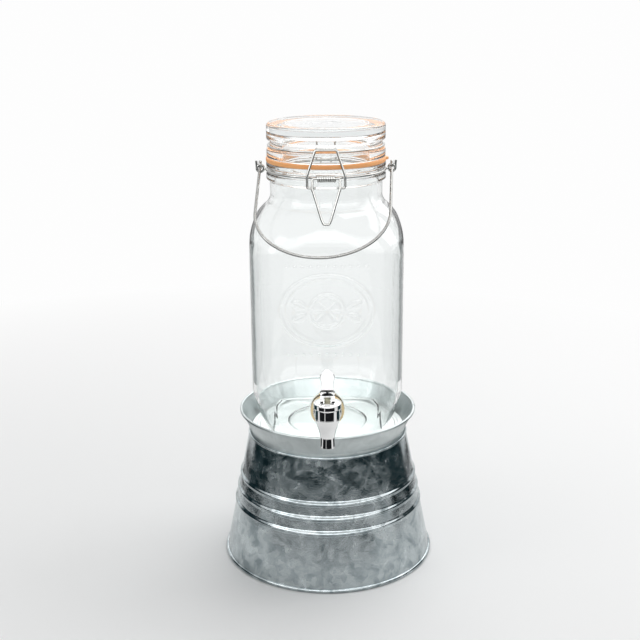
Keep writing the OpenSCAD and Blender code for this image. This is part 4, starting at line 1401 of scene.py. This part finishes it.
for side in (-1, 1):
    coil_x = side * COIL_END
    coil_lead = bend([
        (coil_x, latch.y + EYE_R, BAND_Z), (coil_x + side, -BAND_R - 0.6, BAND_Z),
        (coil_x + side * 6, -BAND_R + 0.9, BAND_Z)], 1.5)
    eye_x = side * REAR_EYE_X
    eye_neck = [(eye_x, BAND_R - 0.4, BAND_Z), (eye_x, hinge.y - EYE_R, BAND_Z)]
    ear_neck = [(side * BAND_R, 0, BAND_Z), (side * (EAR_X - EAR_R), 0, BAND_Z)]
    tail_x = side * (EAR_X + EAR_R)
    ear_tail = [(tail_x, 0, BAND_Z), (tail_x + side * 0.1, 0, BAND_Z + 3),
                (tail_x + side * 0.4, 0, BAND_Z + EAR_TAIL)]
    band_shells += [sweep(path, WIRE_R) for path in (coil_lead, eye_neck, ear_neck)]
    band_shells += [eye(eye_x, hinge.y, BAND_Z, EYE_R, "X"), sweep(ear_tail, TAIL_R),
                    eye(side * EAR_X, 0, BAND_Z, EAR_R, "Y", steps=40)]
piece("neck_wire", joined(*band_shells), WIRE_STEEL, "neck_band")

# %% [markdown]
# The lid's wire lies in the lid's groove. In front it rises in a hump, over which the latch loop
# hooks. At the back two legs run down to the hinge eyes and are joined by the bar that turns in
# them.

# %% Lid wire
LID_WIRE_R = 52.4
LID_WIRE_Z = 399.8
HUMP_RISE = 3.0
HUMP_OUT = 0.3
HUMP_HALF = 11.0
HUMP_RUN = 3.5
LEG_X = 11.0
groove_ring = []
for point in circle((0, 0, LID_WIRE_Z), LID_WIRE_R, "Z", 240):
    lift = ease((HUMP_HALF - abs(point.x)) / HUMP_RUN) if point.y < 0 else 0
    groove_ring.append(point + Vector((0, -HUMP_OUT * lift, HUMP_RISE * lift)))
leg_y = math.sqrt(LID_WIRE_R ** 2 - LEG_X ** 2)
legs = bend([
    (-LEG_X, leg_y, LID_WIRE_Z), (-LEG_X, hinge.y, LID_WIRE_Z), (-LEG_X, hinge.y, hinge.z),
    (LEG_X, hinge.y, hinge.z), (LEG_X, hinge.y, LID_WIRE_Z), (LEG_X, leg_y, LID_WIRE_Z)],
    [0, 2.0, 1.4, 1.4, 2.0, 0])
groove_wire = joined(sweep(groove_ring, WIRE_R, closed=True), sweep(legs, WIRE_R))
piece("groove_wire", groove_wire, WIRE_STEEL, "lid_wire")

# %% [markdown]
# The latch lever is one closed wire: a bar through the front coil and a tapering finger pull
# below it. It leans out a little when shut, so that a finger gets behind it. Two eyes on it carry
# the loop.

# %% Latch lever
loop_pin = pivot_mm("latch_loop_pivot")
LEVER_HALF = 12.0
LEVER_LEN = 39.5
LEVER_LEAN = math.radians(11)
LEVER_KNEE = 9.0
TIP_R = 4.2
TIP_HALF = TIP_R * 0.55


def on_lever(x, d):
    """Place on the closed lever, d down from its pivot."""
    return Vector((x, latch.y - d * math.sin(LEVER_LEAN), latch.z - d * math.cos(LEVER_LEAN)))


lever_path = bend([
    on_lever(-LEVER_HALF, 0), on_lever(LEVER_HALF, 0), on_lever(LEVER_HALF, LEVER_KNEE),
    on_lever(TIP_R, LEVER_LEN - TIP_R), on_lever(TIP_HALF, LEVER_LEN),
    on_lever(-TIP_HALF, LEVER_LEN), on_lever(-TIP_R, LEVER_LEN - TIP_R),
    on_lever(-LEVER_HALF, LEVER_KNEE)],
    [1.4, 1.4, 3.5, 3.0, 1.6, 1.6, 3.0, 3.5], closed=True, steps=6)
lever_eyes = [eye(side * LEVER_HALF, loop_pin.y, loop_pin.z, EYE_R, "X") for side in (-1, 1)]
lever_wire = joined(sweep(lever_path, WIRE_R, closed=True), *lever_eyes)
piece("lever_wire", lever_wire, WIRE_STEEL, "latch_lever")

# %% [markdown]
# The loop's two ends turn in those eyes. It widens, then narrows to a bar that hooks over the
# hump of the lid's wire. Half of it is laid out and mirrored, because a bent wire like this is
# symmetric.

# %% Latch loop
LOOP_HALF = 16.5
LOOP_WIDEST = 0.33
LOOP_BAR_HALF = 9.3
LOOP_PIN_IN = 9.0
LOOP_ROOM = 0.5
loop_top = box_mm("latch_loop")[1].z - WIRE_R
loop_foot = Vector((0, loop_pin.y, loop_pin.z))
loop_rise = Vector((0, -(LID_R + WIRE_R + LOOP_ROOM), loop_top)) - loop_foot


def on_loop(x, share):
    """Place on the closed loop, share of the way up from its pins."""
    return Vector((x, 0, 0)) + loop_foot + loop_rise * share


half_loop = [on_loop(LOOP_PIN_IN, 0), on_loop(LOOP_HALF, 0), on_loop(LOOP_HALF, LOOP_WIDEST),
             on_loop(LOOP_BAR_HALF, 1)]
other_half = [Vector((-p.x, p.y, p.z)) for p in half_loop[::-1]]
loop_path = bend(half_loop + other_half, [0, 1.6, 8.0, 1.8, 1.8, 8.0, 1.6, 0])
piece("loop_wire", sweep(loop_path, WIRE_R), WIRE_STEEL, "latch_loop")

# %% [markdown]
# The carry handle is one long wire with an eye at each end, hung from the ears. It rests on the
# shoulder and leans a little to one side, as it fell. It could be drawn upright and turned into
# place. Here it is drawn at rest, at an angle that is read off the CAD solid, so that the wire
# lies where the solid does.

# %% Carry handle
HANDLE_R = 1.35
HANDLE_REACH = 104.5
HANDLE_ARM = 55.0
ARM_STEPS = 8
HANDLE_HALF = 60.0
HANDLE_LEAN = 6.0
HANDLE_EYE_R = 2.95
BOW_STEPS = 60
swing_z = pivot_mm("handle_swing").z
handle_front = box_mm("carry_handle")[0].y
handle_angle = math.asin((-handle_front - HANDLE_R) / HANDLE_REACH)


def on_handle(x, s):
    """Place on the resting handle, s out from its pivot."""
    lean = HANDLE_LEAN * s / HANDLE_REACH
    return Vector((x - lean, -s * math.sin(handle_angle), swing_z - s * math.cos(handle_angle)))


arm_places = [HANDLE_EYE_R + (HANDLE_ARM - HANDLE_EYE_R) * k / ARM_STEPS for k in range(ARM_STEPS)]
bow = []
for k in range(BOW_STEPS + 1):
    a = math.pi * (1 - k / BOW_STEPS)
    drop = HANDLE_ARM + (HANDLE_REACH - HANDLE_ARM) * math.sin(a)
    bow.append(on_handle(HANDLE_HALF * math.cos(a), drop))
handle_path = ([on_handle(-HANDLE_HALF, s) for s in arm_places] + bow
               + [on_handle(HANDLE_HALF, s) for s in arm_places[::-1]])
handle_eyes = [eye(side * HANDLE_HALF, 0, swing_z, HANDLE_EYE_R, "X", HANDLE_R, 36)
               for side in (-1, 1)]
handle_wire = joined(sweep(handle_path, HANDLE_R), *handle_eyes)
piece("handle_wire", handle_wire, HANDLE_STEEL_PAINTED_SHADE, "carry_handle")
print("handle rests at", round(math.degrees(handle_angle), 1), "degrees from straight down")

# %% [markdown]
# The tap is chromed. Its barrel narrows to a spout and holds the valve's chamber, with the seat
# for the seal at the bottom. Rounded edges matter most here, because each one catches a thin
# bright line, so the section has its lips and roundings drawn in before it is spun.

# %% Tap barrel
tap_low, tap_high = box_mm("tap_body")
TAP_Y = -98.0
BARREL_R = 11.2
NOZZLE_R = 6.6
OUTLET_R = 4.0
CHAMBER_R = 6.0
SEAT_Z = 160.0
LIP_R = 0.5
TOP_R = 0.7
BELLY_STEPS = 16
barrel_top = tap_high.z
nozzle_z = tap_low.z
waist_z = nozzle_z + 9
belly_z = barrel_top - 8.5

belly = []
for k in range(BELLY_STEPS + 1):
    share = k / BELLY_STEPS
    belly.append((NOZZLE_R + (BARREL_R - NOZZLE_R) * ease(share),
                  waist_z + (belly_z - waist_z) * share))
lip = arc((NOZZLE_R - 0.1, nozzle_z + LIP_R), LIP_R, -90, 0, 6)
top_edge = arc((BARREL_R - TOP_R, barrel_top - TOP_R), TOP_R, 0, 90, 5)
barrel_line = ([(OUTLET_R, nozzle_z)] + lip + [(NOZZLE_R + 0.25, nozzle_z + 4)] + belly + top_edge
               + [(CHAMBER_R, barrel_top), (CHAMBER_R, SEAT_Z), (OUTLET_R, SEAT_Z)])
barrel = lathe(barrel_line, axis=(0, TAP_Y), segments=128)
print("barrel outline:", len(barrel_line), "points")

# %% [markdown]
# The shank runs from the barrel through the glass. It has a flange that presses on the front
# washer and a thread for the lock nut. A helix would be closer to life, but only a few of its
# ridges show, dimly, through the jar, so the thread is a row of ridges in the section.

# %% Tap shank
WATER_R = 4.5
SHANK_R = 7.9
THREAD_D = 0.6
THREAD_PITCH = 1.8
THREAD_LEAD = 6
ROOT_R = SHANK_R - THREAD_D
FLANGE_R = 13.0
FLANGE_FRONT, FLANGE_BACK = -75.4, -72.4
shank_start = TAP_Y + 8

thread = []
thread_y = FLANGE_BACK + THREAD_LEAD
while thread_y < tap_high.y - THREAD_PITCH:
    thread += [(ROOT_R, thread_y), (SHANK_R, thread_y + THREAD_PITCH / 2)]
    thread_y += THREAD_PITCH
flange = bend([
    (ROOT_R, shank_start + 2), (ROOT_R, FLANGE_FRONT), (FLANGE_R, FLANGE_FRONT),
    (FLANGE_R, FLANGE_BACK), (SHANK_R, FLANGE_BACK)], [0, 1.5, 1.0, 0.5, 0])
shank_line = ([(WATER_R, shank_start), (ROOT_R, shank_start)] + flange + thread
              + [(ROOT_R, tap_high.y), (WATER_R, tap_high.y)])
shank = laid_forward(lathe(shank_line, segments=96), SHANK_Z)
piece("tap_barrel", joined(barrel, shank), TAP_CHROME, "tap_body", sharp=50)

# %% [markdown]
# The bonnet is screwed into the top of the barrel. It closes the chamber, guides the stem and
# gives the spring something to push against. Its top slopes, so that it shows white above the
# dark windows of the barrel.

# %% Tap bonnet
bonnet_low, bonnet_high = box_mm("tap_bonnet")
BONNET_R = TAP_Y - bonnet_low.y
BONNET_TOP_R = 8.6
SLOPE_Z = 187
STEM_R = 2.2
GUIDE_R = STEM_R + 0.06
SPRING_ROOM_R, SPRING_ROOM_Z = 4.8, 182
SKIRT_R = CHAMBER_R - 0.05
bonnet_line = outline([
    (GUIDE_R, bonnet_high.z, 0), (GUIDE_R, SPRING_ROOM_Z, 0), (SPRING_ROOM_R, SPRING_ROOM_Z, 0),
    (SPRING_ROOM_R, bonnet_low.z, 0), (SKIRT_R, bonnet_low.z, 0), (SKIRT_R, barrel_top, 0),
    (BONNET_R, barrel_top, 0.9), (BONNET_R, SLOPE_Z, 0.8), (BONNET_TOP_R, bonnet_high.z, 0.5)])
cap = lathe(bonnet_line, axis=(0, TAP_Y), segments=128)
piece("tap_cap", cap, TAP_CHROME, "tap_bonnet", sharp=50)

# %% [markdown]
# A rubber washer on each side of the glass keeps the jar tight, and a plastic nut draws the tap
# home from inside. The washers are spun with soft edges. The nut is a prism with a hole cut
# through it and a bevel on its edges, as a moulded nut has.

# %% Washers and lock nut
HOLE_R = SHANK_R + 0.3
NUT_EDGE = 0.6
BORE_SIDES = 64


def flat_ring(node, inner):
    """Washer with soft edges that fills a node's box along Y."""
    low, high = box_mm(node)
    line = outline([
        (inner, low.y, 0.3), (high.x, low.y, 0.7), (high.x, high.y, 0.7), (inner, high.y, 0.3)])
    return laid_forward(lathe(line, segments=96), SHANK_Z)


def round_shape(radius, sides):
    """Regular outline about the shank's axis."""
    return arc((0, SHANK_Z), radius, 0, 360, sides)[:-1]


piece("front_washer", flat_ring("outer_washer", HOLE_R), AMBER_RUBBER, "outer_washer")
piece("back_washer", flat_ring("inner_washer", HOLE_R), AMBER_RUBBER, "inner_washer")
nut_low, nut_high = box_mm("lock_nut")
bore = prism(round_shape(SHANK_R, BORE_SIDES), "Y", nut_low.y - 1, nut_high.y + 1)
hexagon = prism(round_shape(nut_high.x, 6), "Y", nut_low.y, nut_high.y)
piece("hex_nut", carved(hexagon, NUT_EDGE, [bore]), NUT_PLASTIC, "lock_nut")

# %% [markdown]
# The lever's lower end is a fork. It straddles the stem's head on a pin, and its round foot is
# the cam that rolls on the bonnet and lifts the stem. A slot cut by a Boolean gives the fork,
# with room for the head inside.

# %% Tap lever: fork
lever_low, lever_high = box_mm("tap_lever")
CAM_R = 5.0
CAM_Y = lever_low.y + CAM_R
CAM_Z = lever_low.z + CAM_R
FORK_HALF = 6.4
FORK_EDGE = 0.5
SLOT_HALF = 3.6
SLOT_TOP_Z = 195.05
CUT_ROOM = 9
STEP_Z = 199.55
LOBE_Z = 193.2
APRON_Z = 193.3
APRON_T = 0.8
THUMB_HALF = 2.2
thumb_front = CAM_Y - THUMB_HALF
cheek_front = thumb_front + 0.3
cheek = arc((CAM_Y, CAM_Z), CAM_R, 184, 360, 24) + bend([
    (CAM_Y + CAM_R, CAM_Z + 0.2), (CAM_Y + CAM_R, STEP_Z), (cheek_front, STEP_Z),
    (cheek_front, LOBE_Z)], [0, 1.6, 0.3, 0])
slot_z = CAM_Z - 3 * CAM_R
slot_foot = [(-SLOT_HALF, slot_z), (SLOT_HALF, slot_z)]
slot_top = arc((0, SLOT_TOP_Z), SLOT_HALF, 0, 180, 20)
mouth_top = [(SLOT_HALF, APRON_Z), (-SLOT_HALF, APRON_Z)]
pocket = prism(slot_foot + slot_top, "Y", thumb_front + APRON_T, CAM_Y + CUT_ROOM)
mouth = prism(slot_foot + mouth_top, "Y", CAM_Y - CUT_ROOM, CAM_Y)
fork = carved(prism(cheek, "X", -FORK_HALF, FORK_HALF), FORK_EDGE, [pocket, mouth])
print("fork:", len(fork[1]), "faces")

# %% [markdown]
# Above the fork a neck rises to a round thumb plate with three grip ridges. A thin apron runs
# down its front and covers the top of the slot. It stands out by two hundredths of a millimetre,
# because faces that lie in one plane flicker in a render.

# %% Tap lever: thumb plate
APRON_TOP = 204.5
APRON_OUT = 0.02
APRON_EDGE = 0.3
NECK_HALF = 5.5
THUMB_R = 6.5
THUMB_Z = lever_high.z - THUMB_R - 1.2
THUMB_EDGE = 0.6
RIDGE_R = 0.45
RIDGES = ((2.8, 4.0), (0.4, 4.6), (-2.0, 4.0))
tuck = math.degrees(math.acos(NECK_HALF / THUMB_R))
neck_z = STEP_Z - 1
thumb_line = [(-NECK_HALF, neck_z), (NECK_HALF, neck_z)]
thumb_line += arc((0, THUMB_Z), THUMB_R, -tuck, 180 + tuck, 40)
thumb = carved(prism(thumb_line, "Y", thumb_front, CAM_Y + THUMB_HALF), THUMB_EDGE)
apron_line = [(-NECK_HALF, APRON_Z), (NECK_HALF, APRON_Z), (NECK_HALF, APRON_TOP),
              (-NECK_HALF, APRON_TOP)]
apron_front = thumb_front - APRON_OUT
apron = carved(prism(apron_line, "Y", apron_front, thumb_front + APRON_T), APRON_EDGE)
ridges = [sweep([(x, thumb_front, THUMB_Z + up) for x in (-half, half)], RIDGE_R, sides=12)
          for up, half in RIDGES]
tap_handle = joined(fork, apron, thumb, *ridges)
piece("tap_handle", tap_handle, TAP_CHROME, "tap_lever", sharp=50)

# %% [markdown]
# The valve's stem is a moulded rod. A collar near its foot carries the spring's lower end, and a
# domed head at the top takes the lever's pin. Only the head shows, olive between the fork's
# cheeks.

# %% Valve stem
stem_z = box_mm("valve_stem")[0].z
COLLAR_STEM_R = 4.8
COLLAR_Z, COLLAR_T = 164.2, 1
HEAD_R = 2.8
HEAD_Z = 188.8
DOME_Z = 190.55
collar_top = COLLAR_Z + COLLAR_T
dome = [(*point, 0) for point in arc((0, DOME_Z), HEAD_R, 0, 89, 16)]
stem_line = outline([
    (0, stem_z, 0), (STEM_R, stem_z, 0.3), (STEM_R, COLLAR_Z, 0), (COLLAR_STEM_R, COLLAR_Z, 0.2),
    (COLLAR_STEM_R, collar_top, 0.2), (STEM_R, collar_top, 0), (STEM_R, HEAD_Z, 0),
    (HEAD_R, HEAD_Z, 0.4)] + dome + [(0, DOME_Z + HEAD_R, 0)])
rod = lathe(stem_line, axis=(0, TAP_Y), segments=64)
piece("stem_rod", rod, STEM_PLASTIC, "valve_stem")

# %% [markdown]
# A spring in the bonnet presses the valve shut. It touches two bodies: its foot rides on the valve and its top
# rests in the bonnet, which belongs to the jar. So it rides on neither.

# %% Valve spring
spring_low, spring_high = box_mm("valve_spring")
SPRING_R = STEM_R + 1.4
SPRING_WIRE_R = 0.45
SPRING_TURNS = 5
spring_steps = SPRING_TURNS * TURN_STEPS
spring_foot = spring_low.z + SPRING_WIRE_R
spring_rise = spring_high.z - spring_low.z - 2 * SPRING_WIRE_R
spring_path = []
for k in range(spring_steps + 1):
    a = 2 * math.pi * k / TURN_STEPS
    spring_path.append((SPRING_R * math.cos(a), TAP_Y + SPRING_R * math.sin(a),
                        spring_foot + spring_rise * k / spring_steps))
spring = sweep(spring_path, SPRING_WIRE_R, sides=10)
coil_spring = piece("coil_spring", spring, PLAIN_STEEL, "valve_spring", rides=False)
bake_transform(coil_spring)

# %% [markdown]
# A few nodes stay as the CAD made them: two wires inside their rolls, the lever's pin and the
# seal on the stem. They sit inside other pieces, so new meshes would show nothing more. They only
# need their finishes.

# %% Finishes for the nodes that stay
KEPT = {"hem_wire": PLAIN_STEEL, "rim_wire": PLAIN_STEEL, "lever_pin": PLAIN_STEEL,
        "valve_seal": SEAL_RUBBER}
for node, finish in KEPT.items():
    mesh = frame["nodes"][node].data
    mesh.materials.clear()
    mesh.materials.append(finish)
print("kept as they are:", ", ".join(KEPT))
